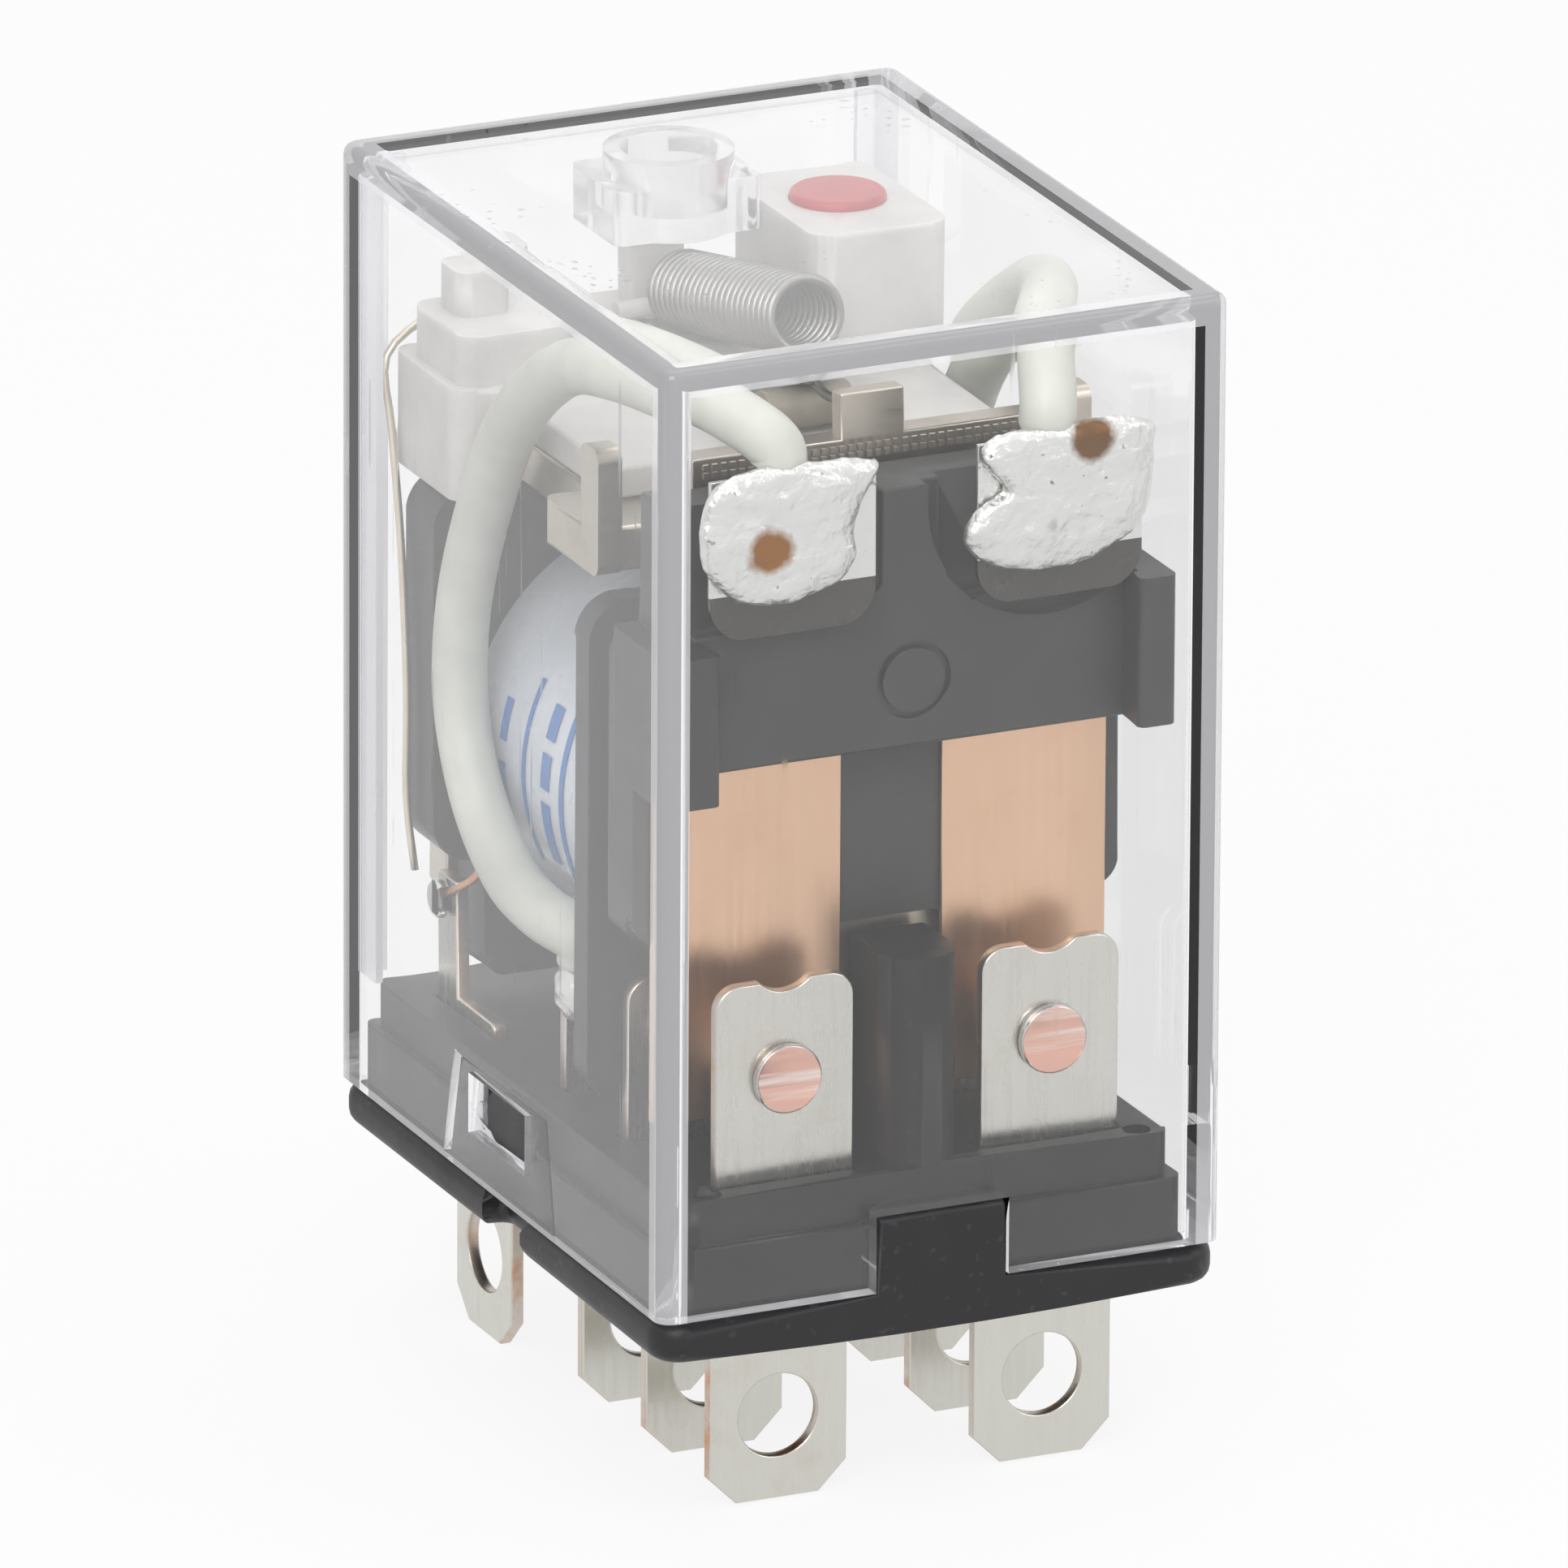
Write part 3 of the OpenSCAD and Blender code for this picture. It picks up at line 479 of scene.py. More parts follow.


# Base colour, stain colour, stain share, roughness, stretch of the streaks, bump, stretch of the stains. On
# the contact faces the near-white stain, stretched into bands across the face, is painted reflection.
metals = {
    "tinPlate": ((0.64, 0.63, 0.58), (0.52, 0.46, 0.38), 0.3, 0.26, (1, 1, 0.06), (0.16, 0.02)),
    "cutEdge": ((0.62, 0.56, 0.50), (0.60, 0.27, 0.13), 0.95, 0.38, (0.2, 0.2, 1), (0.3, 0.03)),
    # near-white bands across the contact face: painted reflection
    "contactFace": ((0.74, 0.44, 0.35), (0.92, 0.89, 0.86), 1.0, 0.14, (0.05, 1, 1), (0.1, 0.02),
                    (0.1, 1, 2.2)),
    "contactRim": ((0.60, 0.58, 0.56), (0.5, 0.36, 0.28), 0.3, 0.2, (1, 1, 1), (0.1, 0.02)),
    "springCopper": ((0.80, 0.53, 0.36), (0.70, 0.42, 0.26), 0.3, 0.34, (1, 1, 0.03), (0.12, 0.015)),
    "platedSteel": ((0.58, 0.53, 0.46), (0.42, 0.34, 0.26), 0.4, 0.34, (0.08, 1, 1), (0.15, 0.02)),
    "coreSteel": ((0.60, 0.58, 0.54), (0.4, 0.35, 0.3), 0.4, 0.35, (1, 1, 1), (0.2, 0.02)),
    "ringCopper": ((0.75, 0.38, 0.22), (0.4, 0.2, 0.12), 0.4, 0.3, (1, 1, 1), (0.2, 0.02)),
    "springSteel": ((0.33, 0.325, 0.31), (0.22, 0.2, 0.18), 0.3, 0.38, (1, 1, 1), (0.15, 0.02)),
    "copperWire": ((0.66, 0.30, 0.13), (0.36, 0.14, 0.06), 0.5, 0.3, (1, 1, 1), (0.2, 0.02)),
    "tinnedWire": ((0.74, 0.66, 0.52), (0.55, 0.45, 0.3), 0.4, 0.32, (1, 1, 1), (0.2, 0.02)),
}


def metalMaterial(name, base, sheenAndStain, share, roughness, streaks, bump, spread=(1, 1, 1)):
    material, tree, shader = startMaterial(name, 1.0)
    useGroup(tree, shader, rolledMetal, {
        "Base": base, "Stain And Sheen": sheenAndStain, "Stain And Sheen Share": share, "Roughness": roughness,
        "Streaks": streaks, "Stain And Sheen Stretch": spread,
    }, bump)
    return material


solderLook = {"base": (0.74, 0.74, 0.72), "metallic": 0.9, "bump": (0.7, 0.16)}

# Flux colour, flux share, roughness, then the place and radius of a burnt spot.
solders = {
    "leftTabSolder": ((0.30, 0.12, 0.02), 0.75, 0.14, (-6.2, -12.3, 28.75), 1.0),
    "rightTabSolder": ((0.16, 0.07, 0.015), 0.75, 0.14, (5.9, -12.3, 31.1), 0.95),
    "jointSolder": ((0.42, 0.26, 0.08), 0.4, 0.2),
}


def solderMaterial(name, flux, share, roughness, spot=(0, 0, 0), radius=0.001):
    material, tree, shader = startMaterial(name, solderLook["metallic"])
    useGroup(tree, shader, frozenSolder, {
        "Base": solderLook["base"], "Flux": flux, "Flux Share": share, "Roughness": roughness,
        "Spot": [part * mm for part in spot], "Spot Radius": radius * mm,
    }, solderLook["bump"])
    return material


clearLook = {"ior": 1.49, "bump": (0.1, 0.004)}

# Tint, roughness, scuffs, then how much light its shadow lets through and how clear it is.
clears = {
    "clearCover": ((0.985, 0.985, 0.99), 0.0, 0.25),
    # paler, partly milky glass for the cover's edges: painted sheen for the light refracted through the
    # wall's thickness
    "coverEdge": ((0.97, 0.97, 0.995), 0.06, 0.4, 0.95, 0.58),
    "clearHolder": ((0.93, 0.93, 0.94), 0.1, 0.3, 0.9, 0.72),
}


def clearMaterial(name, tint, roughness, scuffs, shade=0.96, clear=1.0):
    material, tree, shader = startMaterial(name)
    shader.inputs["Base Color"].default_value = (*tint, 1)
    shader.inputs["Transmission Weight"].default_value = clear
    shader.inputs["IOR"].default_value = clearLook["ior"]
    useGroup(tree, shader, scuffedClear, {"Roughness": roughness, "Scuffs": scuffs}, clearLook["bump"])
    through = tree.nodes.new("ShaderNodeBsdfTransparent")
    through.inputs["Color"].default_value = (shade, shade, shade, 1)
    shadowRay = tree.nodes.new("ShaderNodeLightPath").outputs["Is Shadow Ray"]
    mixShaders(tree, shadowRay, shader, through, tree.nodes["Material Output"])
    return material


finishes = {}
for rows, makeFinish in ((plastics, plasticMaterial), (metals, metalMaterial),
                         (solders, solderMaterial), (clears, clearMaterial)):
    for finishName, row in rows.items():
        finishes[finishName] = makeFinish(finishName, *row)
print("stage: materials", len(finishes))

shaping = {
    "merge": 0.002,  # doubles nearer than this become one
    "close": 0.0005,
    "cut": 0.001,
    "slack": 0.01,
    "flatWithin": 0.5,  # degrees
    "steep": 50,
    "flatWeight": 80,
}
rockerNodes = ("armature", "contact_carrier", "moving_spring_", "moving_contact_", "tab_solder_")


def bodyOf(node):
    return "rocker" if node.startswith(rockerNodes) else "root"


def finishObject(bm, name, materials, sharp=38):  # edges steeper than sharp stay hard
    mesh = bpy.data.meshes.new(name)
    bm.to_mesh(mesh)
    bm.free()
    for material in materials:
        mesh.materials.append(finishes[material])
    mesh.shade_smooth()
    mesh.set_sharp_from_angle(angle=math.radians(sharp))
    piece = bpy.data.objects.new(name, mesh)
    bpy.context.scene.collection.objects.link(piece)
    if sharp < 90:
        flat = piece.modifiers.new("flatFaces", "WEIGHTED_NORMAL")
        flat.keep_sharp = True
        flat.weight = shaping["flatWeight"]
    return piece


def placePiece(piece, body, nodes=()):
    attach(piece, body)
    if nodes:
        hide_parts(*nodes)


def nodeShape(node):  # a merged copy of a CAD node with its flat faces whole again
    bm = bmesh.new()
    bm.from_mesh(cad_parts[node].data)
    bmesh.ops.remove_doubles(bm, verts=bm.verts, dist=shaping["merge"] * mm)
    bmesh.ops.dissolve_limit(bm, angle_limit=math.radians(shaping["flatWithin"]), verts=bm.verts,
                             edges=bm.edges, delimit={"NORMAL"})
    return bm


def roundEdges(bm, width, least=0.3, segments=2, where=None):  # outer corners longer than least
    chosen = []
    for edge in bm.edges:
        if len(edge.link_faces) != 2 or edge.calc_length() < least * mm or not edge.is_convex:
            continue
        if edge.calc_face_angle() < math.radians(shaping["steep"]):
            continue
        if where is None or where((edge.verts[0].co + edge.verts[1].co) / 2 / mm):
            chosen.append(edge)
    bmesh.ops.bevel(bm, geom=chosen, offset=width * mm, offset_type="OFFSET", affect="EDGES",
                    segments=segments, profile=0.5, material=-1, clamp_overlap=False)


def softNode(node, materials, width=0.0, least=0.3, segments=2, where=None, paint=None, shape=None, sharp=38):
    bm = nodeShape(node)
    if width:
        roundEdges(bm, width, least, segments, where)
    if shape:
        shape(bm)
    if paint:
        for face in bm.faces:
            face.material_index = paint(face)
    piece = finishObject(bm, node + "_piece", materials, sharp)
    placePiece(piece, bodyOf(node), (node,))


def cutThrough(bm, place, normal):  # a loop of new edges where this plane meets the piece
    geom = bm.verts[:] + bm.edges[:] + bm.faces[:]
    bmesh.ops.bisect_plane(bm, geom=geom, plane_co=place, plane_no=normal, dist=shaping["cut"] * mm)


def addBlock(bm, size, place):
    made = bmesh.ops.create_cube(bm, size=1)["verts"]
    bmesh.ops.scale(bm, verts=made, vec=[part * mm for part in size])
    bmesh.ops.translate(bm, verts=made, vec=[part * mm for part in place])


def growRing(bm, edges):
    grown = bmesh.ops.extrude_edge_only(bm, edges=edges)["geom"]
    verts = [item for item in grown if isinstance(item, bmesh.types.BMVert)]
    return verts, [item for item in grown if isinstance(item, bmesh.types.BMEdge)]


def smoothRoute(points, perSpan):
    points = [Vector(point) * mm for point in points]
    route = []
    for index in range(len(points) - 1):
        a = points[max(index - 1, 0)]
        b, c = points[index], points[index + 1]
        d = points[min(index + 2, len(points) - 1)]
        for step in range(perSpan):
            t = step / perSpan
            route.append(0.5 * (2 * b + t * (c - a) + t * t * (2 * a - 5 * b + 4 * c - d)
                                + t ** 3 * (3 * b - 3 * c + d - a)))
    route.append(points[-1])
    return route


def addTube(bm, route, radius, around, ends=0.0):  # ends draws the two tips in by that share of the radius
    verts = bmesh.ops.create_circle(bm, cap_ends=False, radius=radius * mm, segments=around)["verts"]
    edges = list({edge for vert in verts for edge in vert.link_edges})
    flat = [vert.co.copy() for vert in verts]
    upright = Vector((1, 0, 0))
    for index, point in enumerate(route):
        ahead = (route[min(index + 1, len(route) - 1)] - route[max(index - 1, 0)]).normalized()
        upright = (upright - upright.dot(ahead) * ahead).normalized()
        aside = ahead.cross(upright)
        shrink = 1 - ends if index in (0, len(route) - 1) else 1
        if index:
            verts, edges = growRing(bm, edges)
        for vert, offset in zip(verts, flat):
            vert.co = point + (upright * offset.x + aside * offset.y) * shrink
        if not index:
            bmesh.ops.contextual_create(bm, geom=edges)
    bmesh.ops.contextual_create(bm, geom=edges)


def closeUp(bm):
    bmesh.ops.remove_doubles(bm, verts=bm.verts, dist=shaping["close"] * mm)
    bmesh.ops.recalc_face_normals(bm, faces=bm.faces)


def addLumps(piece, lumps):
    texture = bpy.data.textures.new(piece.name + "_lumps", "CLOUDS")
    texture.noise_scale = lumps["size"] * mm
    texture.noise_depth = lumps["depth"]
    push = piece.modifiers.new("lumps", "DISPLACE")
    push.texture = texture
    push.texture_coords = "LOCAL"
    push.strength = lumps["height"] * mm
    push.mid_level = lumps["middle"]


cover = {"wall": 1.0, "topRound": 0.42, "lipWide": 0.22, "lipDepth": 0.1, "sheenFoot": 0.2, "facingUp": 0.9}
coverLow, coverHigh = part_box("cover")
innerX = coverHigh.x / mm - cover["wall"]
innerY = coverHigh.y / mm - cover["wall"]
innerZ = coverHigh.z / mm - cover["wall"]


def isTopPanel(face):
    middle = face.calc_center_median()
    return (face.normal.z > cover["facingUp"] and middle.z > coverHigh.z - shaping["slack"] * mm
            and abs(middle.x) < innerX * mm and abs(middle.y) < innerY * mm)


def shapeCover(bm):  # cuts at the inner walls for the edge band, whose paler, partly milky glass is painted sheen for light refracted through the wall, then a shallow step round the top panel
    along, across, up = (1, 0, 0), (0, 1, 0), (0, 0, 1)
    for axis, place in ((along, -innerX), (along, innerX), (across, -innerY), (across, innerY), (up, innerZ)):
        cutThrough(bm, Vector(axis) * place * mm, axis)
    panel = [face for face in bm.faces if isTopPanel(face)]
    bmesh.ops.inset_region(bm, faces=panel, thickness=cover["lipWide"] * mm, depth=-cover["lipDepth"] * mm,
                           use_even_offset=True)


# the edge band and the cover's foot get the paler edge glass: painted sheen for light refracted through the
# wall's thickness
def sheenEdges(face):
    middle = face.calc_center_median() / mm
    outside = (abs(middle.x) > innerX) + (abs(middle.y) > innerY) + (middle.z > innerZ)
    return 1 if outside >= 2 or middle.z < coverLow.z / mm + cover["sheenFoot"] else 0


def onTopLoop(middle):
    return middle.z > coverHigh.z / mm - shaping["slack"]


softNode("cover", ("clearCover", "coverEdge"), cover["topRound"], 0.0, 4, onTopLoop, sheenEdges, shapeCover)

ribs = {"foot": 5.7, "underTop": 0.05, "along": 1.5, "across": 1.0, "thick": 0.28, "gap": 0.02}


def buildRibs():  # pale strips in the cover's two rear corners, in the edge glass whose paleness is painted sheen
    bm = bmesh.new()
    top = innerZ - ribs["underTop"]
    for sign in (-1, 1):
        for wide, deep in ((ribs["thick"], ribs["along"]), (ribs["across"], ribs["thick"])):
            x = sign * (innerX - ribs["gap"] - wide / 2)
            y = innerY - ribs["gap"] - deep / 2
            addBlock(bm, (wide, deep, top - ribs["foot"]), (x, y, (top + ribs["foot"]) / 2))
    placePiece(finishObject(bm, "cover_corner_ribs", ("coverEdge",)), "root")


buildRibs()
print("stage: cover")

base = {
    "flangeRound": 0.55,
    "flangeTop": 1.5,
    "rimSide": 9.55,  # edges beyond this to the sides, or beyond rimEnd, are on the flange's rim
    "rimEnd": 12.75,
    "tabHalf": 2.6,
    "edgeRound": 0.16,
    "shortest": 0.25,
    "plinthFrom": 2.0,
}


def onFlangeRim(middle):  # but not where the end tabs stand on it
    level = min(abs(middle.z), abs(middle.z - base["flangeTop"])) < shaping["slack"]
    atSide = abs(middle.x) > base["rimSide"]
    atEnd = abs(middle.y) > base["rimEnd"] and abs(middle.x) >= base["tabHalf"]
    return level and (atSide or atEnd)


def onPlinth(middle):
    return middle.z > base["plinthFrom"]


def shapeBase(bm):
    roundEdges(bm, base["flangeRound"], 0.0, 4, onFlangeRim)
    roundEdges(bm, base["edgeRound"], base["shortest"], 2, onPlinth)


softNode("base", ("basePlastic",), shape=shapeBase)

terminals = {
    "coin": 0.09,
    "facing": 0.5,
    "contactRound": 0.13,
    "struckFacing": 0.95,
    "springCoin": 0.03,
    "springShortest": 0.2,
}
contactFace = {
    "height": 9.2,
    "across": 2.3,
    "trough": 0.1,
    "touch": 0.0001,
    "cuts": (-1.05, -0.8, -0.55, -0.3, 0.0, 0.3, 0.55, 0.8, 1.05),
}
# where the painted shade on the lower soldered tabs stops
tabShade = {"top": 27.05, "front": -10.0}


def facing(axis, least):  # first finish on faces along the axis, second on the edges
    return lambda face: 0 if abs(getattr(face.normal, axis)) > least else 1


def shapeContact(bm):  # the struck faces are slightly hollow across their width
    for cut in contactFace["cuts"]:
        cutThrough(bm, (0, 0, (contactFace["height"] + cut) * mm), (0, 0, 1))
    front = min(vert.co.y for vert in bm.verts)
    for vert in bm.verts:
        away = vert.co.z / mm - contactFace["height"]
        if vert.co.y < front + contactFace["touch"] * mm:
            vert.co.y += contactFace["trough"] * mm * max(0, math.cos(math.pi * away / contactFace["across"]))


def cutTab(bm):
    cutThrough(bm, (0, 0, tabShade["top"] * mm), (0, 0, 1))


def shadedTabFaces(face):  # the lower part of each soldered tab is painted dark and glossy: painted shade for the carrier pocket's shadow below the solder
    middle = face.calc_center_median() / mm
    if middle.y > tabShade["front"]:
        return 0
    return 1 if middle.z < tabShade["top"] else 2


for side in sides:
    for row in ("nc", "no", "com"):
        softNode(f"{row}_terminal_{side}", ("tinPlate", "cutEdge"), terminals["coin"], 0.0,
                 paint=facing("y", terminals["facing"]))
    softNode(f"coil_terminal_{side}", ("tinPlate", "cutEdge"), terminals["coin"], 0.0,
             paint=facing("x", terminals["facing"]))
    for row in ("nc", "no", "moving"):
        softNode(f"{row}_contact_{side}", ("contactFace", "contactRim"), terminals["contactRound"], 0.0, 3,
                 paint=facing("y", terminals["struckFacing"]), shape=shapeContact)
    softNode(f"moving_spring_{side}", ("springCopper", "fluxVarnish", side + "TabSolder"),
             terminals["springCoin"], terminals["springShortest"], 1, paint=shadedTabFaces, shape=cutTab)
print("stage: base, terminals and contacts")

magnet = {
    "bobbinRound": 0.15,
    "bobbinShortest": 0.5,
    "coreRound": 0.06,
    "yokeRound": 0.12,
    "yokeShortest": 0.4,
}

softNode("bobbin", ("bobbinPlastic",), magnet["bobbinRound"], magnet["bobbinShortest"])
softNode("coil_winding", ("copperWire",))
softNode("core", ("coreSteel",), magnet["coreRound"], 0.0)
softNode("shading_ring", ("ringCopper",))
softNode("yoke", ("platedSteel",), magnet["yokeRound"], magnet["yokeShortest"])
softNode("coil_tape", ("tapeFilm",))
for side in sides:
    softNode(f"coil_wire_{side}", ("copperWire",), sharp=80)
    softNode(f"lamp_wire_{side}", ("tinnedWire",), sharp=80)

# Each bar is given as where it starts along the coil, its width, and the two angles it runs between.
tapeMarks = {
    "radius": 7.31,
    "thick": 0.02,
    "stepAngle": 4,
    "fewestSteps": 3,
    "bars": (
        (-2.9, 0.35, 60, 118), (-1.9, 0.2, 70, 108), (0.4, 0.35, 60, 118),
        (1.6, 0.7, 66, 76), (1.6, 0.7, 80, 90), (1.6, 0.7, 94, 112),
        (3.6, 0.25, 62, 116), (5.2, 0.5, 72, 84), (5.2, 0.5, 90, 106),
    ),
}


def buildTapeMarks():  # plain printed bars that run round the tape, on both sides
    bm = bmesh.new()
    tapeLow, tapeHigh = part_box("coil_tape")
    axisZ = ((tapeLow + tapeHigh) / 2).z
    inner, outer = tapeMarks["radius"], tapeMarks["radius"] + tapeMarks["thick"]
    for start, wide, first, last in tapeMarks["bars"]:
        steps = max(tapeMarks["fewestSteps"], int((last - first) / tapeMarks["stepAngle"]))
        for way in (-1, 1):
            corners = [bm.verts.new(Vector((0, y * mm, z * mm))) for y, z in (
                (start, inner), (start + wide, inner), (start + wide, outer), (start, outer))]
            face = bm.faces.new(corners)
            bmesh.ops.rotate(bm, verts=corners, cent=(0, 0, 0),
                             matrix=Matrix.Rotation(math.radians(first) * way, 3, "Y"))
            bmesh.ops.translate(bm, verts=corners, vec=(0, 0, axisZ))
            bmesh.ops.spin(bm, geom=[face] + list(face.edges) + corners, cent=(0, 0, axisZ), axis=(0, 1, 0),
                           angle=math.radians(last - first) * way, steps=steps, use_merge=False)
    closeUp(bm)
    placePiece(finishObject(bm, "tape_marks", ("tapeMark",)), "root")


buildTapeMarks()
print("stage: magnet")

rocker = {
    "armatureRound": 0.08,
    "carrierRound": 0.13,
    "carrierShortest": 0.45,
    "carrierFront": -9.6,  # only the carrier's front and its two side wings are rounded
    "carrierWing": 8.0,
}


def onCarrierOutside(middle):
    return middle.y < rocker["carrierFront"] or abs(middle.x) > rocker["carrierWing"]


softNode("armature", ("platedSteel",), rocker["armatureRound"])
softNode("contact_carrier", ("carrierPlastic",), rocker["carrierRound"], rocker["carrierShortest"], 2,
         onCarrierOutside)

knurl = {"size": (0.2, 0.12, 0.2), "pitch": 0.34, "count": 39, "rows": (29.98, 30.27), "y": -7.66}


def buildKnurl():  # two rows of small stamped squares along the armature's crown
    bm = bmesh.new()
    for row in knurl["rows"]:
        for index in range(knurl["count"]):
            x = (index - (knurl["count"] - 1) / 2) * knurl["pitch"]
            addBlock(bm, knurl["size"], (x, knurl["y"], row))
    placePiece(finishObject(bm, "crown_knurl", ("platedSteel",)), "rocker")


buildKnurl()

tabSolder = {
    "front": -12.5,
    "back": -11.72,
    "filled": 0.98,  # share of the depth that the rings use
    "rings": ((1.0, 0.3), (0.98, 0.3), (0.88, 0.28), (0.6, 0.12)),  # size against the ring before, and rise
    "smooth": 5,
    "lumps": {"size": 1.1, "depth": 3, "height": 0.28, "middle": 0.55},
    "coilJointRound": 0.2,  # for the small joints on the coil's posts
    "left": ((-8.6, 31.35), (-5.75, 31.75), (-1.7, 31.5), (-2.0, 31.0), (-2.7, 29.7), (-2.9, 28.6),
             (-2.5, 27.9), (-3.6, 26.9), (-5.5, 26.5), (-7.4, 26.8), (-8.4, 27.9), (-8.7, 29.2)),
    "right": ((1.7, 31.6), (5.0, 31.7), (8.6, 31.6), (8.4, 30.9), (8.4, 28.8), (7.9, 27.2), (5.1, 26.4),
              (3.3, 26.5), (1.2, 27.3), (1.2, 28.7), (2.3, 29.3), (3.0, 29.5), (2.3, 30.1), (1.8, 30.7)),
}


def buildTabSolder(side):  # frozen puddle: its outline rises in rings to a crowned middle
    bm = bmesh.new()
    verts = [bm.verts.new((x * mm, tabSolder["back"] * mm, z * mm)) for x, z in tabSolder[side]]
    edges = list(bm.faces.new(verts).edges)
    centre = sum((vert.co for vert in verts), Vector()) / len(verts)
    deep = tabSolder["front"] - tabSolder["back"]
    for grow, rise in tabSolder["rings"]:
        verts, edges = growRing(bm, edges)
        for vert in verts:
            vert.co.y += deep * rise * tabSolder["filled"] * mm
            vert.co.x = centre.x + (vert.co.x - centre.x) * grow
            vert.co.z = centre.z + (vert.co.z - centre.z) * grow
    bmesh.ops.contextual_create(bm, geom=edges)
    closeUp(bm)
    piece = finishObject(bm, f"tab_solder_{side}_piece", (side + "TabSolder",), sharp=180)
    smooth = piece.modifiers.new("smooth", "SUBSURF")
    smooth.levels = tabSolder["smooth"]
    smooth.render_levels = tabSolder["smooth"]
    addLumps(piece, tabSolder["lumps"])
    placePiece(piece, "rocker", (f"tab_solder_{side}",))


for side in sides:
    buildTabSolder(side)
    softNode(f"coil_solder_{side}", ("jointSolder",), tabSolder["coilJointRound"], 0.0, 3)

joint = {
    "swell": (1.15, 1.2, 1.4),
    "shift": (0, 0.2, 0.1),
    "subdivisions": 4,
    "lumps": {"size": 0.6, "depth": 2, "height": 0.3, "middle": 0.7},
}


def buildJointSolder(side):  # drop of solder round the lower end of a lead
    low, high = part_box(f"com_solder_{side}")
    size = (high - low) / 2
    bm = bmesh.new()
    bmesh.ops.create_icosphere(bm, subdivisions=joint["subdivisions"], radius=1)
    bmesh.ops.scale(bm, verts=bm.verts, vec=[part * more for part, more in zip(size, joint["swell"])])
    bmesh.ops.translate(bm, verts=bm.verts, vec=(high + low) / 2 + Vector(joint["shift"]) * mm)
    piece = finishObject(bm, f"com_solder_{side}_piece", ("jointSolder",), sharp=180)
    addLumps(piece, joint["lumps"])
    placePiece(piece, "root", (f"com_solder_{side}",))


for side in sides:
    buildJointSolder(side)
print("stage: rocker and solder")

returnSpring = {
    "rear": (0, 8.2, 30),
    "front": (0, -2.2, 32.3),
    "outer": 3.1,
    "wire": 0.37,
    "turns": 23,
    "stepsPerTurn": 28,
    "coilSides": 8,
    "hookSides": 10,
    "hookSpan": 6,
    "hookGap": 0.02,
    "hookStart": 0.1,
    "hookLead": (1.2, 0.2),  # how far the front hook runs on under the coil, and drops
    "tongue": ((0, -4.8, 30.95), (0, -5.95, 31.3)),  # where the front hook lies on the armature's tongue
    "peg": (0, 1, -0.9),  # from the coil's rear end
    "pegRing": ((0, 0, -0.66), (0, 0.47, -0.47), (0, 0.66, 0), (0, 0.47, 0.47)),
}


def addHook(bm, points):
    route = smoothRoute(points, returnSpring["hookSpan"])
    addTube(bm, route, returnSpring["wire"] / 2, returnSpring["hookSides"])


def buildReturnSpring():
    rear, front = Vector(returnSpring["rear"]), Vector(returnSpring["front"])
    radius = (returnSpring["outer"] - returnSpring["wire"]) / 2
    bm = bmesh.new()
    made = bmesh.ops.create_circle(bm, cap_ends=True, radius=returnSpring["wire"] / 2 * mm,
                                   segments=returnSpring["coilSides"])["verts"]
    bmesh.ops.rotate(bm, verts=made, cent=(0, 0, 0), matrix=Matrix.Rotation(math.radians(90), 3, "X"))
    bmesh.ops.translate(bm, verts=made, vec=(radius * mm, 0, 0))
    steps = returnSpring["turns"] * returnSpring["stepsPerTurn"]
    rise = (front - rear).length * mm / steps
    geom = bm.verts[:] + bm.edges[:] + bm.faces[:]
    bmesh.ops.spin(bm, geom=geom, cent=(0, 0, 0), axis=(0, 0, 1), dvec=(0, 0, rise),
                   angle=math.radians(360 * returnSpring["turns"]), steps=steps, use_merge=False)
    lean = Vector((0, 0, 1)).rotation_difference((front - rear).normalized()).to_matrix()
    turn = lean @ Matrix.Rotation(math.radians(-90), 3, "Z")
    bmesh.ops.rotate(bm, verts=bm.verts, cent=(0, 0, 0), matrix=turn)
    bmesh.ops.translate(bm, verts=bm.verts, vec=rear * mm)
    low = radius + returnSpring["hookGap"]
    start = returnSpring["hookStart"]
    reach, drop = returnSpring["hookLead"]
    addHook(bm, (front + Vector((0, start, -low)), front + Vector((0, -reach, -low - drop)),
                 *returnSpring["tongue"]))
    peg = rear + Vector(returnSpring["peg"])
    addHook(bm, (rear + Vector((0, -start, -low)), *(peg + Vector(step) for step in returnSpring["pegRing"])))
    closeUp(bm)
    piece = finishObject(bm, "return_spring_piece", ("springSteel",), sharp=80)
    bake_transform(piece)
    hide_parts("return_spring")


buildReturnSpring()

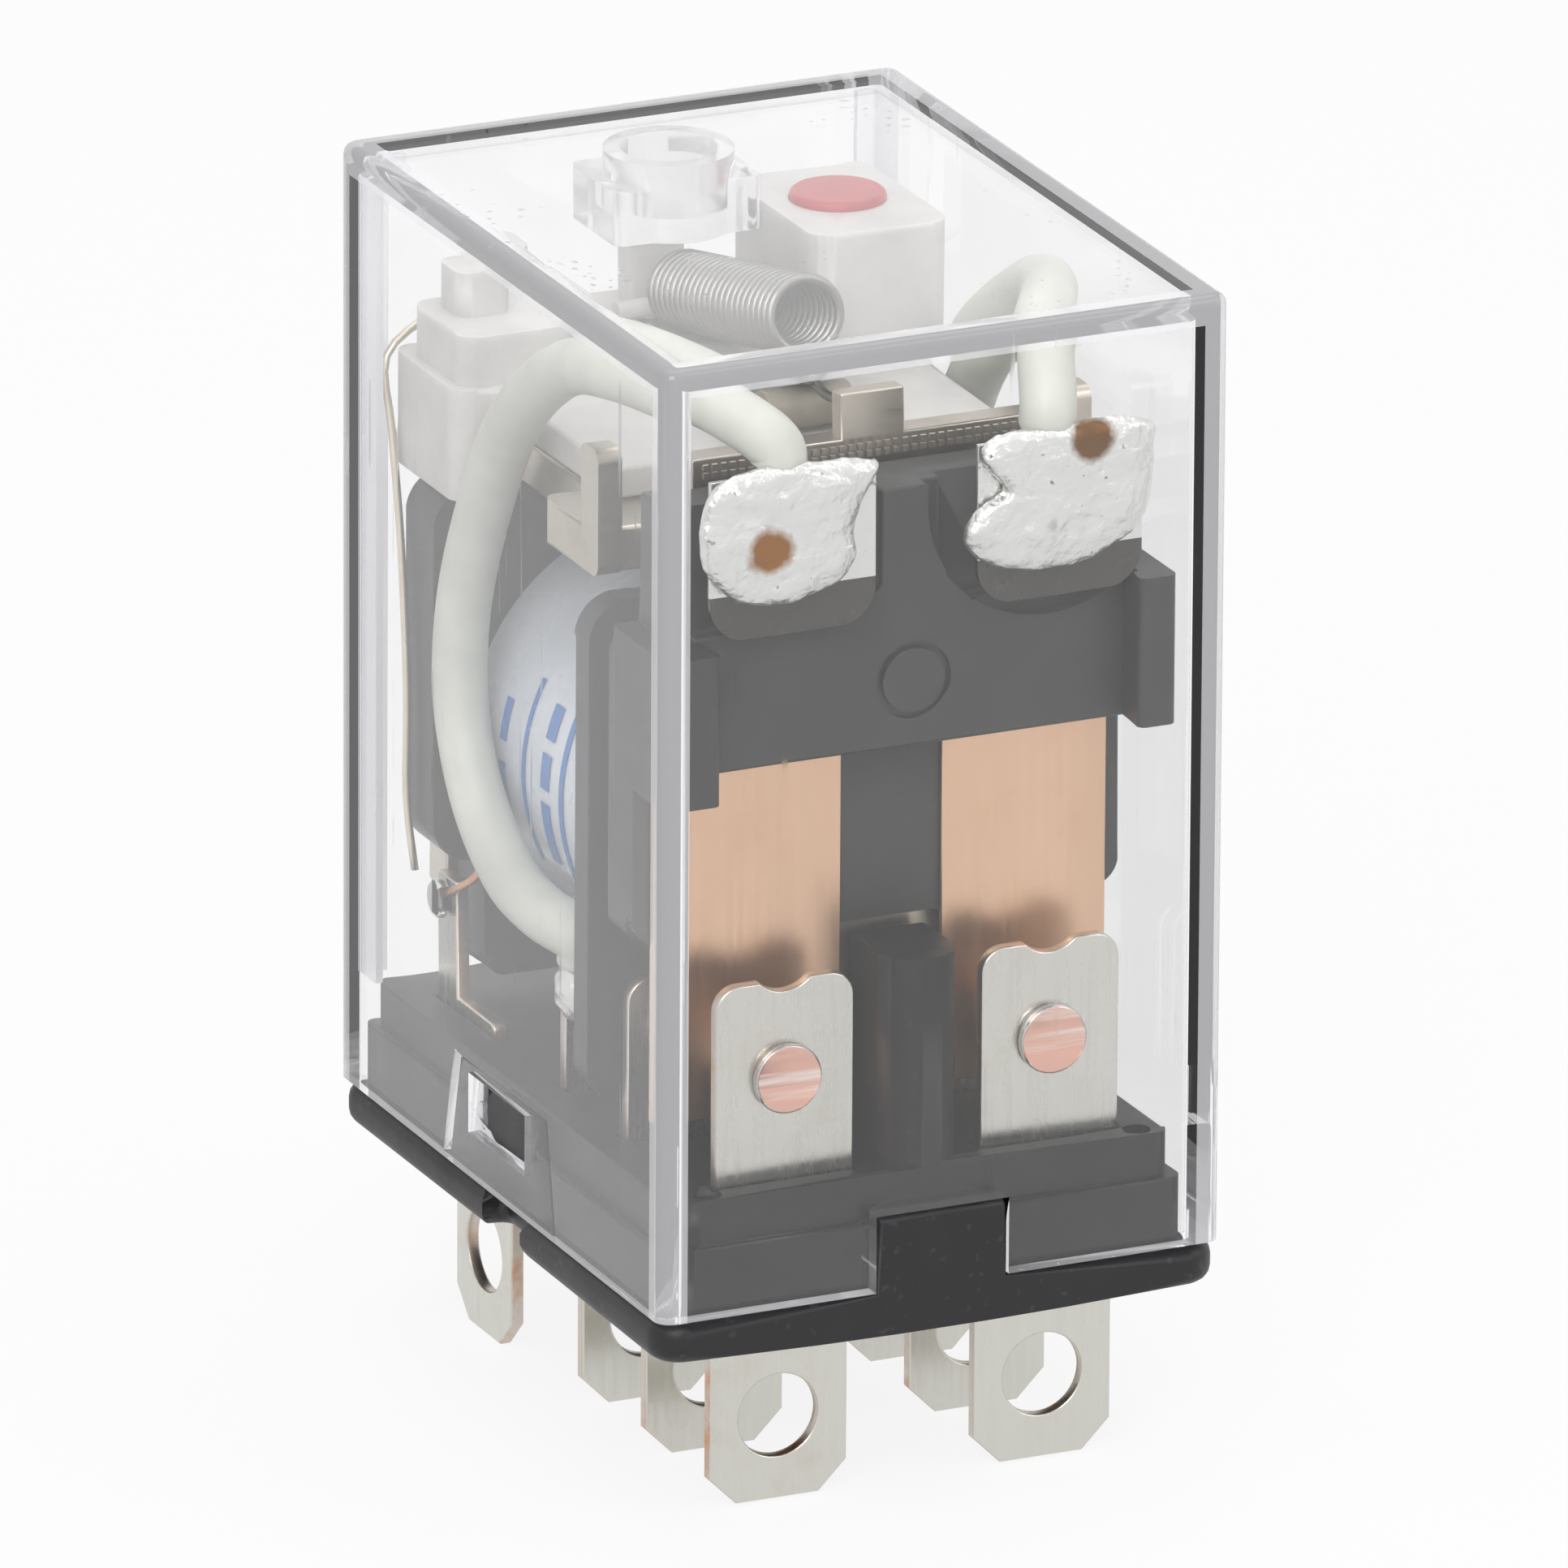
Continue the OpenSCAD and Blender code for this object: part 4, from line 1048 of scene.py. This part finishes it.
leadInset = 1.15  # from the cover's inner wall to the middle of the lead
leadX = innerX - leadInset
leads = {
    "radius": 0.99,
    "around": 24,
    "perSpan": 5,
    "tips": 0.04,
    "left": ((-5.4, -11.2, 31.4), (-5.4, -11.2, 31.9), (-5.9, -10.8, 32.5), (-7.0, -9.2, 33.2),
             (-8.2, -6.0, 33.4), (-leadX, -2.3, 32.4), (-leadX, 1.8, 29.4), (-leadX, 4.4, 25.5),
             (-leadX, 6.2, 21.4), (-leadX, 6.5, 17.7), (-leadX, 5.1, 14.6), (-leadX, 2.5, 12.6),
             (-leadX + 0.2, 0.2, 11.9), (-7.5, -1.3, 11.4), (-7.3, -1.5, 10.9), (-7.3, -1.5, 10.35)),
    "right": ((4.7, -11.2, 31.4), (4.75, -11.2, 32.2), (5.4, -9.6, 33.6), (7.3, -6.2, 33.6),
              (leadX, -2.3, 32.4), (leadX, 1.8, 29.4), (leadX, 4.4, 25.5), (leadX, 6.2, 21.4),
              (leadX, 6.5, 17.7), (leadX, 5.1, 14.6), (leadX, 2.5, 12.6), (leadX - 0.2, 0.2, 11.9),
              (7.5, -1.3, 11.4), (7.3, -1.5, 10.9), (7.3, -1.5, 10.35)),
}


def buildLead(side):
    bm = bmesh.new()
    addTube(bm, smoothRoute(leads[side], leads["perSpan"]), leads["radius"], leads["around"], leads["tips"])
    closeUp(bm)
    piece = finishObject(bm, f"lead_{side}_piece", ("leadSleeve",), sharp=60)
    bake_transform(piece)
    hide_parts(f"lead_{side}")


for side in sides:
    buildLead(side)
print("stage: springs and leads")

indicator = {
    "housingRound": 0.2,
    "holderRound": 0.1,
    "shortest": 0.4,
    "lampRound": 0.15,
    "lensRound": 0.2,
    "resistorRound": 0.08,
}

softNode("top_housing", ("milkyPlastic",), indicator["housingRound"], indicator["shortest"])
softNode("lamp_holder", ("clearHolder",), indicator["holderRound"], indicator["shortest"])
softNode("lamp", ("lampGlow",), indicator["lampRound"], 0.0)
softNode("red_lens", ("redLens",), indicator["lensRound"], 0.0, 3)
softNode("series_resistor", ("resistorBody",), indicator["resistorRound"], 0.0)
print("stage: indicator")
